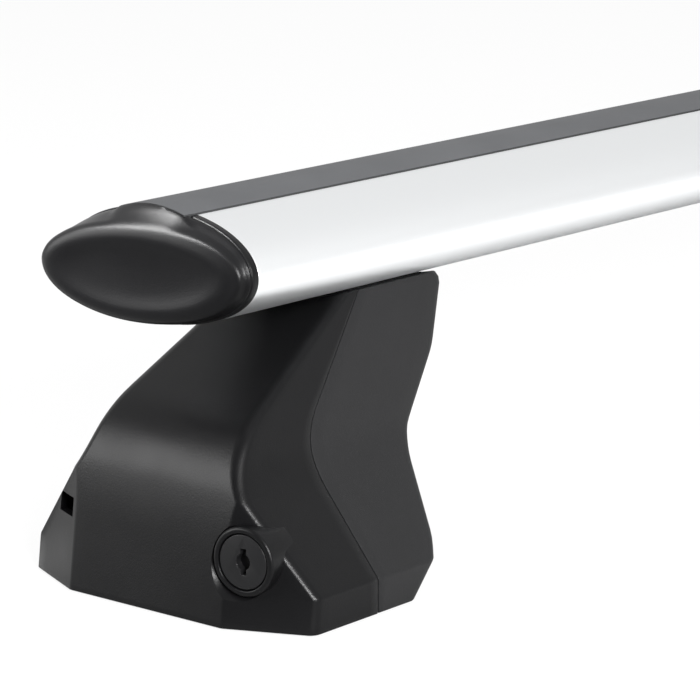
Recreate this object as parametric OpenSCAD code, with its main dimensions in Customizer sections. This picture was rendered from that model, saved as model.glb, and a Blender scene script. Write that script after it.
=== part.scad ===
// Roof rack crossbar: an aerodynamic aluminium bar on two lockable feet.
// X runs along the bar, Y along the car's direction of travel and Z up from the roof.
// The origin lies midway between the feet, on the surface they stand on.

/* [Bar] */
// Length of the extrusion from cut end to cut end
bar_length = 1150; // [900:10:1500]
// Chord of the bar, from leading edge to trailing edge
bar_chord = 75; // [72:0.5:80]
// Thickness of the bar at its middle
bar_height = 35.4; // [34.4:0.2:38]
// Outer wall of the extrusion
bar_wall = 2; // [1.6:0.1:2.4]
// Inner webs of the extrusion
web = 2; // [1.6:0.1:2.2]
// Width of the slots' mouths
slot_mouth = 10.5; // [9.5:0.1:11.5]
// Width of the T-slot under the strip
top_slot_w = 22; // [20:0.5:23]
// Width of the T-slot in the underside
low_slot_w = 20; // [19:0.5:21]
// Height of the T-slots' channels
slot_h = 6.4; // [5.8:0.1:6.8]
// Thickness of the lips at the mouth of the lower slot
low_lip = 3.3; // [2.8:0.1:3.6]

/* [Rubber strip] */
// Width of the strip on top of the bar
strip_w = 26.4; // [25:0.2:28]
// Height of the strip's edge above the bottom of its seat
strip_edge = 1.35; // [1.1:0.05:1.6]
// Rise of the strip's crown above its edges
strip_crown = 2.2; // [1.4:0.1:2.6]
// How far the strip runs out over each end cap
strip_overrun = 5.6; // [4:0.2:7]

/* [End caps] */
// Depth of the cap at the middle of its face
cap_depth = 13.3; // [12.5:0.1:18]
// Sweep of the face in plan, longer at the trailing edge
cap_sweep = 10; // [4:0.5:11]
// Width of the plain band next to the bar
cap_band = 2.8; // [2:0.1:3.4]
// Depth of the dish in the face
cap_dish = 1.3; // [0.6:0.1:1.8]
// Length of the plugs that hold the cap in the bar
plug_len = 14; // [8:1:24]
// Clearance of the plugs in the bar's cells
plug_gap = 0.2; // [0.1:0.05:0.3]

/* [Foot] */
// Height of the bar's underside above the roof
under_bar = 88.6; // [87:0.2:92]
// Width of the foot at its base
base_w = 116.6; // [112:0.2:122]
// Width of the flat front face
face_w = 63; // [60:0.5:66]
// How far the side chamfers run back at the base
chamfer_run = 12; // [10.5:0.1:13]
// Height of the foot's upright sides below the shoulders
shoulder_z = 11.5; // [10:0.5:13]
// Width of the foot at the waist
waist_w = 65.8; // [64:0.2:70]
// Height of the waist
waist_z = 42.2; // [40:0.2:44]
// Width of the neck under the bar
neck_w = 42.6; // [41.6:0.2:46]
// How far the foot stands out past the cut end of the bar
foot_reach = 11.8; // [2:0.2:16]
// Wall of the front cover
cover_wall = 2.8; // [2.2:0.1:3]
// Wall of the rear body
rear_wall = 3; // [2.4:0.1:3.2]
// Gap of the seam between cover and body
seam_gap = 0.4; // [0.3:0.05:0.6]
// Gap between the shells and the bar above them
bar_gap = 0.9; // [0.6:0.1:1.4]
// Gap between the shells' lower edges and the roof
hem = 0.6; // [0.4:0.1:1]

/* [Bracket and pads] */
// Thickness of the pressed steel bracket
plate = 4; // [3:0.25:4.5]
// Width of the bracket's riser
riser_w = 33; // [30:0.5:34]
// Half width of the bracket's base plate
base_plate_half = 43; // [38:0.5:44]
// Thickness of the rubber base pad
pad_h = 5; // [4:0.25:6]
// Clearance between the pads and the bar or the shells
pad_gap = 0.3; // [0.2:0.05:0.5]
// Distance between the two kit screw holes
kit_pitch = 60; // [52:1:66]
// Diameter of the kit screw holes
kit_hole_d = 6.6; // [5.5:0.1:7]

/* [Clamp] */
// Thread diameter of the clamp bolt
bolt_d = 8; // [7:0.5:8]
// Clearance of the bolt in its holes, on the diameter
bolt_play = 0.5; // [0.3:0.1:1]
// Diameter of the bolt's head
head_d = 13; // [12:0.5:13.5]
// Height of the bolt's head
head_h = 8; // [6:0.5:8]
// Thickness of the washer
washer_h = 1.6; // [1.2:0.1:2]
// Length of the plate in the bar's lower slot
slot_plate_len = 36; // [28:1:42]
// Thickness of the plate in the bar's lower slot
slot_plate_h = 5; // [4:0.1:5.2]

/* [Lock] */
// Diameter of the boss round the lock
boss_d = 21.6; // [20.8:0.1:22.4]
// Diameter of the lock's face
lock_face_d = 16.8; // [15.6:0.1:17]
// Gap round the lock's face
lock_gap = 0.5; // [0.3:0.05:0.6]
// Diameter of the lock's barrel
barrel_d = 12; // [11:0.1:12.4]
// Running clearance of the barrel, on the diameter
barrel_play = 0.14; // [0.06:0.02:0.18]
// Width of the sloped recess round the boss
recess_w = 1.9; // [1.4:0.1:2.2]
// Turn of the lock's axis towards its own side of the foot
lock_yaw = 7; // [4:0.5:8]
// Distance of the lock's axis from the middle of the foot
lock_y = 38.2; // [37.6:0.1:39]
// Height of the lock's axis
lock_z = 21.8; // [21.4:0.1:22.6]
// Diameter of the round part of the keyway
key_d = 5; // [4:0.1:5.6]
// Width of the keyway's notches
key_slot_w = 2.1; // [1.6:0.1:2.6]
// Height of the keyway over its notches
key_slot_h = 8.1; // [7:0.1:9]

/* [Hidden] */
$fn = 64;
eps = 0.01;
far = 200;

// Bar section, measured from the middle of the bar
bar_z = under_bar + bar_height / 2;
half_chord = bar_chord / 2;
half_height = bar_height / 2;
seat_drop = 2;
strip_seat = half_height - seat_drop;
top_lip = 2.2;
channel_half = max(top_slot_w, low_slot_w) / 2;
top_slot_z = strip_seat - top_lip - slot_h;
low_slot_z = low_lip - half_height;
strip_fit = 0.1;

// Foot profile, seen from the side: X runs inwards from the foot's front edge
face_lean = 0.13;
slope_run = 1.698;
brow = [6.9, 53.1];
brow_r = 25;
heel = [61, 0];
heel_run = 0.935;
hock = [76.2, 16.6];
hock_r = 18;
knee = [90.8, 46.3];
knee_r = 12;
back = [110.3, 67.8];
back_r = 24;
back_run = 0.52;
seam_x = 42;
seam_bend_z = 53;
seam_run = 0.961;
seam_r = 20;
waist_r = 35;

// Bracket, riser and clamp, in the foot's own axes
flange_top = under_bar - 4.6;
toe_x = 12;
riser_foot = [60, pad_h];
riser_head = [109, flange_top];
flange_tip_x = 76;
riser_lean = atan2(riser_head.x - riser_foot.x, riser_head.y - riser_foot.y);
clamp_x = 88;
kit_x = 28;
screw_up = 26;
screw_y = 8;
screw_d = 5;
screw_play = 0.2;
screw_len = 5.2;
screw_hole = screw_len + 0.6;
screw_head_d = 9;
screw_head_h = 3.4;
screw_hex = 4.6;

// Lock stack along its axis
boss_face = 3;
boss_len = 13;
plug_face = boss_face + 0.3;
plug_face_t = 4;
barrel_end = 24;
tube_wall = 1.8;
cam_t = 2;
cam_reach = 12.2;
cam_screw_d = 4;
cam_screw_head_d = 7.4;
clip_t = 1;
clip_x = barrel_end - 1.6;
striker_t = 3;
striker_w = 9.5;

function unit(v) = v / norm(v);
function flat2(p) = [p.x, p.y];
function turn(u, w) = u.x * w.y - u.y * w.x;

// An arc of the corner's radius in place of each corner; a point is [x, y, radius]
function corner(a, p, c, r, n) =
    r <= 0 ? [p] :
    let (
        u = unit(a - p), w = unit(c - p),
        half = acos(u * w) / 2,
        centre = p + unit(u + w) * r / sin(half),
        from = p + u * r / tan(half) - centre,
        to = p + w * r / tan(half) - centre,
        start = atan2(from.y, from.x),
        swing = atan2(turn(from, to), from * to)
    )
    [for (i = [0 : n]) centre + r * [cos(start + swing * i / n), sin(start + swing * i / n)]];

function rounded(pts, n = 10) = [
    for (i = [0 : len(pts) - 1])
    let (last = len(pts))
    each corner(flat2(pts[(i + last - 1) % last]), flat2(pts[i]), flat2(pts[(i + 1) % last]), pts[i].z, n)
];

// The same outline moved inwards by d, for points that run anticlockwise
function inward(a, b) = let (u = unit(flat2(b) - flat2(a))) [-u.y, u.x];
function inset(pts, d) = [
    for (i = [0 : len(pts) - 1])
    let (
        last = len(pts), p = pts[i],
        a = pts[(i + last - 1) % last], c = pts[(i + 1) % last],
        m = inward(a, p), n = inward(p, c),
        shift = (m + n) * d / (1 + m * n),
        hollow = turn(m, n) < 0
    )
    [p.x + shift.x, p.y + shift.y, p.z <= 0 ? 0 : max(hollow ? p.z + d : p.z - d, 0.2)]
];

function oval(w, h, n = 120) = [for (i = [0 : n - 1]) [w / 2 * cos(i * 360 / n), h / 2 * sin(i * 360 / n)]];

// Arc over a chord of width w whose ends lie at height z and whose crown rises by c
function arch(w, z, c, n = 16) =
    let (r = (w * w / 4 + c * c) / (2 * c), swing = asin(w / 2 / r))
    [for (i = [0 : n]) [r * sin(swing * (1 - 2 * i / n)), z + c - r + r * cos(swing * (1 - 2 * i / n))]];

module along_x(from, to) {
    translate([from, 0, 0]) rotate([90, 0, 90]) linear_extrude(to - from) children();
}

module along_y(half) {
    rotate([90, 0, 0]) linear_extrude(2 * half, center = true) children();
}

module peg_x(d, from, to) {
    translate([from, 0, 0]) rotate([0, 90, 0]) cylinder(d = d, h = to - from);
}

module at_foot(end) {
    rotate([0, 0, end == "left" ? 0 : 180]) translate([-bar_length / 2 - foot_reach, 0, 0]) children();
}

// Bar: hollow oval with a T-slot above, a T-slot below and two upright webs
module bar_cells(gap = 0) {
    intersection() {
        polygon(oval(bar_chord - 2 * bar_wall - 2 * gap, bar_height - 2 * bar_wall - 2 * gap));
        for (side = [-1, 1])
            translate([side * (channel_half + web + gap + far / 2), 0]) square([far, far], center = true);
    }
}

module bar_section() {
    mouth = slot_mouth / 2;
    difference() {
        polygon(oval(bar_chord, bar_height));
        translate([-strip_w / 2 - strip_fit, strip_seat]) square([strip_w + 2 * strip_fit, far]);
        translate([-mouth, top_slot_z]) square([2 * mouth, far]);
        translate([-top_slot_w / 2, top_slot_z]) square([top_slot_w, slot_h]);
        translate([-mouth, -far]) square([2 * mouth, far + low_slot_z + eps]);
        translate([-low_slot_w / 2, low_slot_z]) square([low_slot_w, slot_h]);
        translate([-channel_half, low_slot_z + slot_h + web])
            square([2 * channel_half, top_slot_z - low_slot_z - slot_h - 2 * web]);
        bar_cells();
    }
}

module bar() {
    color("#d9dadc")
    translate([0, 0, bar_z]) along_x(-bar_length / 2, bar_length / 2) bar_section();
}

// Rubber strip: crowned top, neck through the slot's mouth and a barb under each lip
module rubber_strip() {
    neck = slot_mouth - 1;
    barb = slot_mouth + 5;
    under_lip = 0.3;
    end_x = bar_length / 2 + strip_overrun;
    color("#2b2c2e")
    translate([0, 0, bar_z]) {
        along_x(-end_x, end_x)
            polygon(concat(arch(strip_w, strip_seat + strip_edge, strip_crown),
                [[-strip_w / 2, strip_seat], [strip_w / 2, strip_seat]]));
        along_x(-bar_length / 2, bar_length / 2) {
            translate([-neck / 2, strip_seat - top_lip - under_lip]) square([neck, top_lip + under_lip + eps]);
            polygon([
                [-barb / 2, strip_seat - top_lip - strip_fit], [barb / 2, strip_seat - top_lip - strip_fit],
                [neck / 2, top_slot_z + 2 * under_lip], [-neck / 2, top_slot_z + 2 * under_lip]
            ]);
        }
    }
}

// End cap: rings lofted from the bar's oval to a swept, dished face
cap_ring_n = 96;
rim_depth = 1.9;
hump_half = strip_w / 2 + 0.2;
hump_taper = 0.42;
hump_blend = 3.4;
hump_peak = -strip_overrun - 1.6;
hump_foot = 0.8;
cap_rings = [
    // share of the way to the face, depth behind the face, insets: top, bottom, sides
    [0, 0, 0, 0, 0],
    [0, cap_band - 0.3, 0, 0, 0],
    [0, cap_band, 0.4, 0.4, 0.4],
    [0.22, 0, 1.1, 0.5, 0.7],
    [0.45, 0, 1.9, 0.7, 1.2],
    [0.62, 0, 2.5, 0.8, 1.5],
    [0.8, 0, 3.2, 0.9, 1.8],
    [1, rim_depth, 4.1, 1.2, 2.4],
    [1, 0.9, 4.8, 1.8, 3.2],
    [1, 0.25, 5.6, 2.6, 4.2],
    [1, 0, 6.5, 3.5, 5.4],
    [1, 0.3, 7.6, 4.6, 7],
    [1, cap_dish * 0.75, 9.6, 6.6, 10],
    [1, cap_dish, 13, 11, 20]
];

function ease(t) = let (u = min(max(t, 0), 1)) u * u * (3 - 2 * u);
function face_x(y) = -cap_depth - tan(cap_sweep) * y;
function ring_x(r, y) =
    r[0] == 0 ? -r[1] :
    r[0] < 1 ? -cap_band + r[0] * (face_x(y) + rim_depth + cap_band) :
    face_x(y) + r[1];

// Height of the strip's crown at y
strip_r = (strip_w * strip_w / 4 + strip_crown * strip_crown) / (2 * strip_crown);
function crown_z(y) = strip_seat + strip_edge + strip_crown - strip_r + sqrt(strip_r * strip_r - y * y);

// The hump meets the strip's end at full height, narrows towards the rim and falls away to it
function hump_share(x, y) =
    let (
        along = (x - face_x(y) - hump_foot) / (hump_peak - face_x(y) - hump_foot),
        half = hump_half * (1 - hump_taper * (1 - min(max(along, 0), 1)))
    )
    ease((-cap_band - x) / 1.8) * ease(along) * (1 - ease((abs(y) - half + 1) / hump_blend));
function ring_point(r, a) =
    let (
        y = (half_chord - r[4]) * cos(a),
        x = ring_x(r, y),
        skin = sin(a) * (half_height - (sin(a) > 0 ? r[2] : r[3])),
        rise = sin(a) > 0.5 ? max(crown_z(y) - skin, 0) * hump_share(x, y) : 0
    )
    [x, y, skin + rise];

module cap_skin() {
    n = cap_ring_n;
    last = len(cap_rings) - 1;
    hub = (last + 1) * n;
    points = concat(
        [for (r = cap_rings) for (i = [0 : n - 1]) ring_point(r, i * 360 / n)],
        [[face_x(0) + cap_dish, 0, 0]]
    );
    faces = concat(
        [[for (i = [0 : n - 1]) n - 1 - i]],
        [for (k = [0 : last - 1]) for (i = [0 : n - 1])
            let (a = k * n + i, b = k * n + (i + 1) % n) each [[a, b, a + n], [b, b + n, a + n]]],
        [for (i = [0 : n - 1]) [last * n + i, last * n + (i + 1) % n, hub]]
    );
    polyhedron(points, faces);
}

module end_cap() {
    difference() {
        cap_skin();
        // Seat for the strip's end
        translate([-strip_overrun - strip_fit, -strip_w / 2 - strip_fit, strip_seat - strip_fit])
            cube([strip_overrun + 1, strip_w + 2 * strip_fit, far]);
    }
    along_x(-eps, plug_len) bar_cells(plug_gap);
}

module cap_at(end) {
    color("#232426")
    mirror([end == "left" ? 0 : 1, 0, 0]) translate([-bar_length / 2, 0, bar_z]) end_cap();
}

// Outer form of a foot, moved inwards by d: side profile, front outline and plan meet
function side_points(low, high) = [
    [face_lean * low, low, 0],
    [heel.x + heel_run * low, low, 0],
    [hock.x, hock.y, hock_r],
    [knee.x, knee.y, knee_r],
    [back.x, back.y, back_r],
    [back.x + back_run * (high - back.y), high, 0],
    [brow.x + slope_run * (high - brow.y), high, 0],
    [brow.x, brow.y, brow_r]
];

function outline_points(low, high) =
    let (
        lean = (waist_w - neck_w) / 2 / (under_bar - waist_z),
        top = waist_w / 2 - lean * (high - waist_z)
    )
    [
        [-base_w / 2, low, 0], [base_w / 2, low, 0],
        [base_w / 2, shoulder_z, 2], [waist_w / 2, waist_z, waist_r], [top, high, 0],
        [-top, high, 0], [-waist_w / 2, waist_z, waist_r], [-base_w / 2, shoulder_z, 2]
    ];

plan_points = [
    [0, -face_w / 2, 1.5], [chamfer_run, -base_w / 2, 2], [far, -base_w / 2, 0],
    [far, base_w / 2, 0], [chamfer_run, base_w / 2, 2], [0, face_w / 2, 1.5]
];

module foot_form(d, low, high) {
    intersection() {
        along_y(far) polygon(rounded(inset(side_points(low, high), d)));
        along_x(-far, far) polygon(rounded(inset(outline_points(low, high), d)));
        multmatrix([[1, 0, face_lean, 0], [0, 1, 0, 0], [0, 0, 1, 0], [0, 0, 0, 1]])
            translate([0, 0, low - 1]) linear_extrude(high - low + 2) polygon(rounded(inset(plan_points, d)));
    }
}

module ahead_of_seam(gap) {
    edge = seam_x - gap;
    along_y(far) polygon(rounded([
        [-far, -far, 0], [edge, -far, 0], [edge, seam_bend_z, seam_r],
        [edge + seam_run * far, seam_bend_z + far, 0], [-far, seam_bend_z + far, 0]
    ]));
}

module behind_seam(gap) {
    edge = seam_x + gap;
    along_y(far) polygon(rounded([
        [edge, -far, 0], [2 * far, -far, 0], [2 * far, seam_bend_z + far, 0],
        [edge + seam_run * far, seam_bend_z + far, 0], [edge, seam_bend_z, seam_r]
    ]));
}

module bar_room(gap) {
    translate([0, 0, bar_z]) along_x(-far, far) polygon(oval(bar_chord + 2 * gap, bar_height + 2 * gap));
}

// The lock's own axes: X runs inwards along its barrel
module at_lock() {
    translate([0, -lock_y, lock_z]) rotate([0, 0, lock_yaw]) children();
}

// Front cover: moulded shell with the lock's boss and a window on the other side
window_y = 33.6;
window_w = 9.4;
window_z = 23;
window_h = 6;
recess_from = 3.2;
recess_depth = 3;
recess_run = 3.9;
recess_wall = 2;
recess_r = boss_d / 2 + recess_w;

module cover_shell() {
    difference() {
        intersection() {
            foot_form(0, hem, far / 2);
            ahead_of_seam(seam_gap / 2);
        }
        foot_form(cover_wall, -10, far / 2 + 10);
    }
}

// Sloped recess that the boss stands in, open to the front
module boss_recess() {
    rotate([0, 90, 0]) rotate_extrude() polygon([
        [0, -far], [recess_r, -far], [recess_r, recess_from],
        [recess_r - recess_run, recess_from + recess_depth], [0, recess_from + recess_depth]
    ]);
}

module front_cover() {
    color("#242527")
    difference() {
        union() {
            difference() {
                union() {
                    cover_shell();
                    intersection() {
                        foot_form(0.3, hem + 4, far / 2);
                        at_lock() peg_x(2 * (recess_r + recess_wall), 0, recess_from + recess_depth + recess_wall);
                    }
                }
                at_lock() boss_recess();
            }
            at_lock() peg_x(boss_d, boss_face, boss_face + boss_len);
            at_lock() peg_x(barrel_d + barrel_play + 2 * tube_wall, boss_face + boss_len - 5, barrel_end - 0.2);
            cover_ribs();
        }
        at_lock() peg_x(lock_face_d + 2 * lock_gap, -far, plug_face + plug_face_t + 0.2);
        at_lock() peg_x(barrel_d + barrel_play, -far, far);
        translate([-far, window_y, window_z]) cube([far + 30, window_w, window_h]);
        bar_room(bar_gap);
    }
}

// Upright stiffeners inside the cover's front wall
rib_y = 14;
rib_t = 1.8;
rib_depth = 4;

module cover_ribs() {
    intersection() {
        foot_form(cover_wall / 2, 14, far / 2);
        difference() {
            ahead_of_seam(rib_depth);
            foot_form(cover_wall + rib_depth, -10, far / 2 + 10);
        }
        for (y = [-rib_y, rib_y])
            translate([0, y - rib_t / 2, pad_h + plate + rib_depth]) cube([far, rib_t, far]);
    }
}

// Rear body: moulded shell, open to the front, with a lip that enters the cover
module rear_body() {
    lip = 1.3;
    lip_reach = 3;
    lip_foot = 7;
    post_d = 10;
    color("#2c2d30")
    difference() {
        union() {
            difference() {
                foot_form(0, hem, far / 2);
                ahead_of_seam(-seam_gap / 2);
                foot_form(rear_wall, -10, far / 2 + 10);
            }
            difference() {
                union() {
                    difference() {
                        foot_form(cover_wall + pad_gap, lip_foot, far / 2);
                        ahead_of_seam(lip_reach);
                        behind_seam(0.5);
                    }
                    difference() {
                        foot_form(rear_wall - 0.5, lip_foot, far / 2);
                        ahead_of_seam(-seam_gap / 2);
                        behind_seam(lip_reach);
                    }
                }
                foot_form(cover_wall + pad_gap + lip, -10, far / 2 + 10);
            }
            intersection() {
                foot_form(0.5, hem, far / 2);
                for (side = [-1, 1]) at_riser_screw(side) translate([0, 0, 0.2]) cylinder(d = post_d, h = far / 5);
            }
        }
        for (side = [-1, 1]) at_riser_screw(side) cylinder(d = screw_d + screw_play, h = screw_hole);
        bar_room(bar_gap);
    }
}

// A point on the riser's back face, with Z along the screw and away from the riser
module at_riser_screw(side) {
    translate([riser_foot.x, side * screw_y, riser_foot.y]) rotate([0, riser_lean, 0])
        translate([0, 0, screw_up]) rotate([0, 90, 0]) children();
}

// Tower bracket: pressed steel, a base plate, a leaning riser with side webs and a top flange
// that the clamp bolt passes through
module tower_bracket() {
    step = plate / cos(riser_lean);
    inner_foot = [riser_foot.x + plate * tan(riser_lean) - step, riser_foot.y + plate];
    inner_head = [riser_head.x - plate * tan(riser_lean) - step, riser_head.y - plate];
    web_w = 3;
    bend = 6;
    plate_corner = 4;
    plate_back = seam_x + 8;
    color("#6b6e72")
    difference() {
        union() {
            along_y(riser_w / 2) polygon(rounded([
                [toe_x, riser_foot.y, 0], [riser_foot.x, riser_foot.y, bend], [riser_head.x, riser_head.y, bend],
                [flange_tip_x, riser_head.y, 0], [flange_tip_x, inner_head.y, 0],
                [inner_head.x, inner_head.y, bend - plate],
                [inner_foot.x, inner_foot.y, bend - plate], [toe_x, inner_foot.y, 0]
            ]));
            translate([0, 0, riser_foot.y]) linear_extrude(plate) polygon(rounded([
                [toe_x, -base_plate_half, plate_corner], [plate_back, -base_plate_half, plate_corner],
                [plate_back, base_plate_half, plate_corner], [toe_x, base_plate_half, plate_corner]
            ]));
            for (side = [-1, 1]) translate([0, side * (riser_w - web_w) / 2, 0]) along_y(web_w / 2)
                polygon([
                    [seam_x - 4, riser_foot.y + 1], [riser_foot.x - 2, riser_foot.y + 1],
                    [riser_head.x - 2, riser_head.y - 1], [clamp_x - 6, riser_head.y - 1],
                    [seam_x + 10, riser_foot.y + 26]
                ]);
            // Striker that the lock's cam turns behind
            at_lock() translate([barrel_end - striker_t - 0.5, 8.7, riser_foot.y + 1 - lock_z])
                cube([striker_t, striker_w, lock_z + 1]);
        }
        for (side = [-1, 1]) {
            translate([kit_x, side * kit_pitch / 2, 0]) cylinder(d = kit_hole_d, h = riser_foot.y + plate + 1);
            at_riser_screw(side) translate([0, 0, -10]) cylinder(d = screw_d + screw_play, h = 20);
        }
        translate([clamp_x, 0, riser_head.y - plate - 1]) cylinder(d = bolt_d + bolt_play, h = plate + 2);
    }
}

module base_pad() {
    groove_x = 14;
    groove_step = 8;
    groove_w = 1.6;
    color("#1b1b1c")
    difference() {
        linear_extrude(pad_h) intersection() {
            polygon(rounded(inset(plan_points, cover_wall + 2 * pad_gap + face_lean * pad_h)));
            translate([0, -far]) square([heel.x - 4, 2 * far]);
        }
        for (side = [-1, 1])
            translate([kit_x, side * kit_pitch / 2, -1]) cylinder(d = kit_hole_d + 1, h = pad_h + 2);
        // Drain grooves across the underside
        for (x = [groove_x : groove_step : heel.x - groove_step])
            translate([x, 0, 0]) cube([groove_w, base_w - 40, groove_w], center = true);
    }
}

module saddle_pad() {
    color("#1b1b1c")
    difference() {
        translate([flange_tip_x + 1.5, -riser_w / 2 - 1, flange_top]) cube([36, riser_w + 2, 12]);
        translate([clamp_x, 0, flange_top - 1]) cylinder(d = bolt_d + 3, h = 20);
        bar_room(pad_gap);
    }
}

module slot_plate() {
    color("#8d9094")
    difference() {
        translate([clamp_x - slot_plate_len / 2, -low_slot_w / 2 + 1, under_bar + low_lip + pad_gap])
            cube([slot_plate_len, low_slot_w - 2, slot_plate_h]);
        translate([clamp_x, 0, under_bar]) cylinder(d = bolt_d + 0.1, h = 20);
    }
}

module clamp_washer() {
    color("#9a9da1")
    translate([clamp_x, 0, flange_top - plate - washer_h]) difference() {
        cylinder(d = head_d + 3, h = washer_h);
        translate([0, 0, -1]) cylinder(d = bolt_d + bolt_play, h = washer_h + 2);
    }
}

module clamp_bolt() {
    seat = flange_top - plate - washer_h;
    tip = under_bar + low_lip + pad_gap + slot_plate_h;
    color("#8d9094")
    translate([clamp_x, 0, 0]) difference() {
        union() {
            translate([0, 0, seat - head_h]) cylinder(d = head_d, h = head_h);
            translate([0, 0, seat - eps]) cylinder(d = bolt_d, h = tip - seat + eps);
        }
        translate([0, 0, seat - head_h - 1]) cylinder(d = 6.9, h = head_h / 2 + 1, $fn = 6);
    }
}

module body_screws() {
    color("#8d9094")
    for (side = [-1, 1]) at_riser_screw(side) {
        difference() {
            translate([0, 0, -plate - screw_head_h - 0.1]) cylinder(d = screw_head_d, h = screw_head_h);
            translate([0, 0, -plate - screw_head_h - 1.1])
                cylinder(d = screw_hex, h = screw_head_h / 2 + 1, $fn = 6);
        }
        translate([0, 0, -plate - 0.2]) cylinder(d = screw_d, h = plate + screw_len + 0.2);
    }
}

// Lock: face and barrel in one, with a round keyway that has a notch above and below
module lock_plug() {
    color("#3a3b3e")
    at_lock() difference() {
        union() {
            peg_x(lock_face_d, plug_face, plug_face + plug_face_t);
            peg_x(barrel_d, plug_face + plug_face_t - eps, barrel_end);
        }
        peg_x(key_d, plug_face - 1, plug_face + 9);
        translate([plug_face - 1, -key_slot_w / 2, -key_slot_h / 2]) cube([7, key_slot_w, key_slot_h]);
        peg_x(cam_screw_d, barrel_end - 7, barrel_end + 1);
        // Groove for the clip
        difference() {
            peg_x(barrel_d + 2, clip_x, clip_x + clip_t + 0.1);
            peg_x(barrel_d - 2, 0, barrel_end + 1);
        }
    }
}

module lock_clip() {
    from = clip_x + 0.05;
    color("#9a9da1")
    at_lock() difference() {
        peg_x(barrel_d + 0.1, from, from + clip_t);
        peg_x(barrel_d - 1.9, from - 1, from + clip_t + 1);
    }
}

module lock_cam() {
    tip_r = 3.4;
    hub_d = 11;
    color("#9a9da1")
    at_lock() difference() {
        union() {
            peg_x(hub_d, barrel_end, barrel_end + cam_t);
            translate([0, 0, tip_r - cam_reach]) peg_x(2 * tip_r, barrel_end, barrel_end + cam_t);
            translate([barrel_end, -tip_r, tip_r - cam_reach]) cube([cam_t, 2 * tip_r, cam_reach - tip_r]);
        }
        peg_x(cam_screw_d + 0.2, barrel_end - 1, barrel_end + cam_t + 1);
    }
}

module cam_screw() {
    head = barrel_end + cam_t;
    color("#8d9094")
    at_lock() difference() {
        union() {
            peg_x(cam_screw_head_d, head, head + 2.4);
            peg_x(cam_screw_d - 0.1, barrel_end - 6, head + eps);
        }
        peg_x(2.9, head + 1, head + 3, $fn = 6);
    }
}

bar();
rubber_strip();
cap_at("left");  // left_end_cap
cap_at("right");  // right_end_cap

at_foot("left") front_cover();  // left_front_cover
at_foot("left") rear_body();  // left_rear_body
at_foot("left") tower_bracket();  // left_tower_bracket
at_foot("left") base_pad();  // left_base_pad
at_foot("left") saddle_pad();  // left_saddle_pad
at_foot("left") slot_plate();  // left_slot_plate
at_foot("left") clamp_bolt();  // left_clamp_bolt
at_foot("left") clamp_washer();  // left_clamp_washer
at_foot("left") body_screws();  // left_body_screws
at_foot("left") lock_plug();  // left_lock_plug
at_foot("left") lock_cam();  // left_lock_cam
at_foot("left") cam_screw();  // left_cam_screw
at_foot("left") lock_clip();  // left_lock_clip

at_foot("right") front_cover();  // right_front_cover
at_foot("right") rear_body();  // right_rear_body
at_foot("right") tower_bracket();  // right_tower_bracket
at_foot("right") base_pad();  // right_base_pad
at_foot("right") saddle_pad();  // right_saddle_pad
at_foot("right") slot_plate();  // right_slot_plate
at_foot("right") clamp_bolt();  // right_clamp_bolt
at_foot("right") clamp_washer();  // right_clamp_washer
at_foot("right") body_screws();  // right_body_screws
at_foot("right") lock_plug();  // right_lock_plug
at_foot("right") lock_cam();  // right_lock_cam
at_foot("right") cam_screw();  // right_cam_screw
at_foot("right") lock_clip();  // right_lock_clip
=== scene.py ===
"""Dresses the roof rack crossbar: finishes, softened edges, studio and camera."""
import logging
import math
from dataclasses import dataclass, field
from enum import Enum

import bmesh
import bpy
from mathutils import Euler, Matrix, Vector


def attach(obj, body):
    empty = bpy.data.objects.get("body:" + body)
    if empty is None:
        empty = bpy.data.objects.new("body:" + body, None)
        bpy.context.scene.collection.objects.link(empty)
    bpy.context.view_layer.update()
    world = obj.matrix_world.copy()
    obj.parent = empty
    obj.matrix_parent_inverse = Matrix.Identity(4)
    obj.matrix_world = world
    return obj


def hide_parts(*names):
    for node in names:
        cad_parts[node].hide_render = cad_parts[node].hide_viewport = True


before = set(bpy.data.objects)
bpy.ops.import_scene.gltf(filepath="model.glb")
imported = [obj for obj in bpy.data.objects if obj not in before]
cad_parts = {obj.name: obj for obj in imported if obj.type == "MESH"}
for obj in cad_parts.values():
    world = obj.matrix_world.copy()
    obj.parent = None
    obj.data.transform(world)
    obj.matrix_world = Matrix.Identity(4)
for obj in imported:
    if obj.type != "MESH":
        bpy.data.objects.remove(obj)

LOG = logging.getLogger("crossbar")
MM = 0.001
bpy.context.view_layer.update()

# Clouds of a noise in a metre: the colour drifts over about 36 mm and the gloss over about 22 mm
COLOUR_CLOUDS = 28.0
GLOSS_CLOUDS = 45.0
# How often a draw line changes in a metre of its length, in colour and in relief
COLOUR_LINES = 4.0
RELIEF_LINES = 2.0
# The part of a noise's range that is spread over the whole drift
DRIFT = (0.3, 0.7)
# How far a normal points up where the painted shade on the sides ends and where the full colour starts
UPWARD = (0.6, 0.9)
# Corners nearer than this are merged, in millimetres: of CAD meshes and spun solids, and of laid grids
WELD_MM, GRID_WELD_MM = 0.002, 0.004
# Faces of a CAD mesh that turn by less than this are taken as one
FLAT_DEG = 0.4


class End(Enum):
    """The two ends of the bar; the value is the name's prefix in the frame."""

    LEFT = "left"
    RIGHT = "right"

    @property
    def sign(self) -> int:
        """1 at the end towards -X, where a foot's own X runs along +X, and -1 at the other."""
        return 1 if self is End.LEFT else -1


def linear(hex_colour: str) -> tuple[float, float, float, float]:
    """Turns an sRGB hex colour into the linear colour that a shader takes.

    Args:
        hex_colour: six hex digits, such as "1c1d1f".

    Returns:
        Red, green, blue and an alpha of 1.
    """
    values = [int(hex_colour[i:i + 2], 16) / 255 for i in (0, 2, 4)]
    curve = [v / 12.92 if v <= 0.04045 else ((v + 0.055) / 1.055) ** 2.4 for v in values]
    return (*curve, 1.0)


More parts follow.
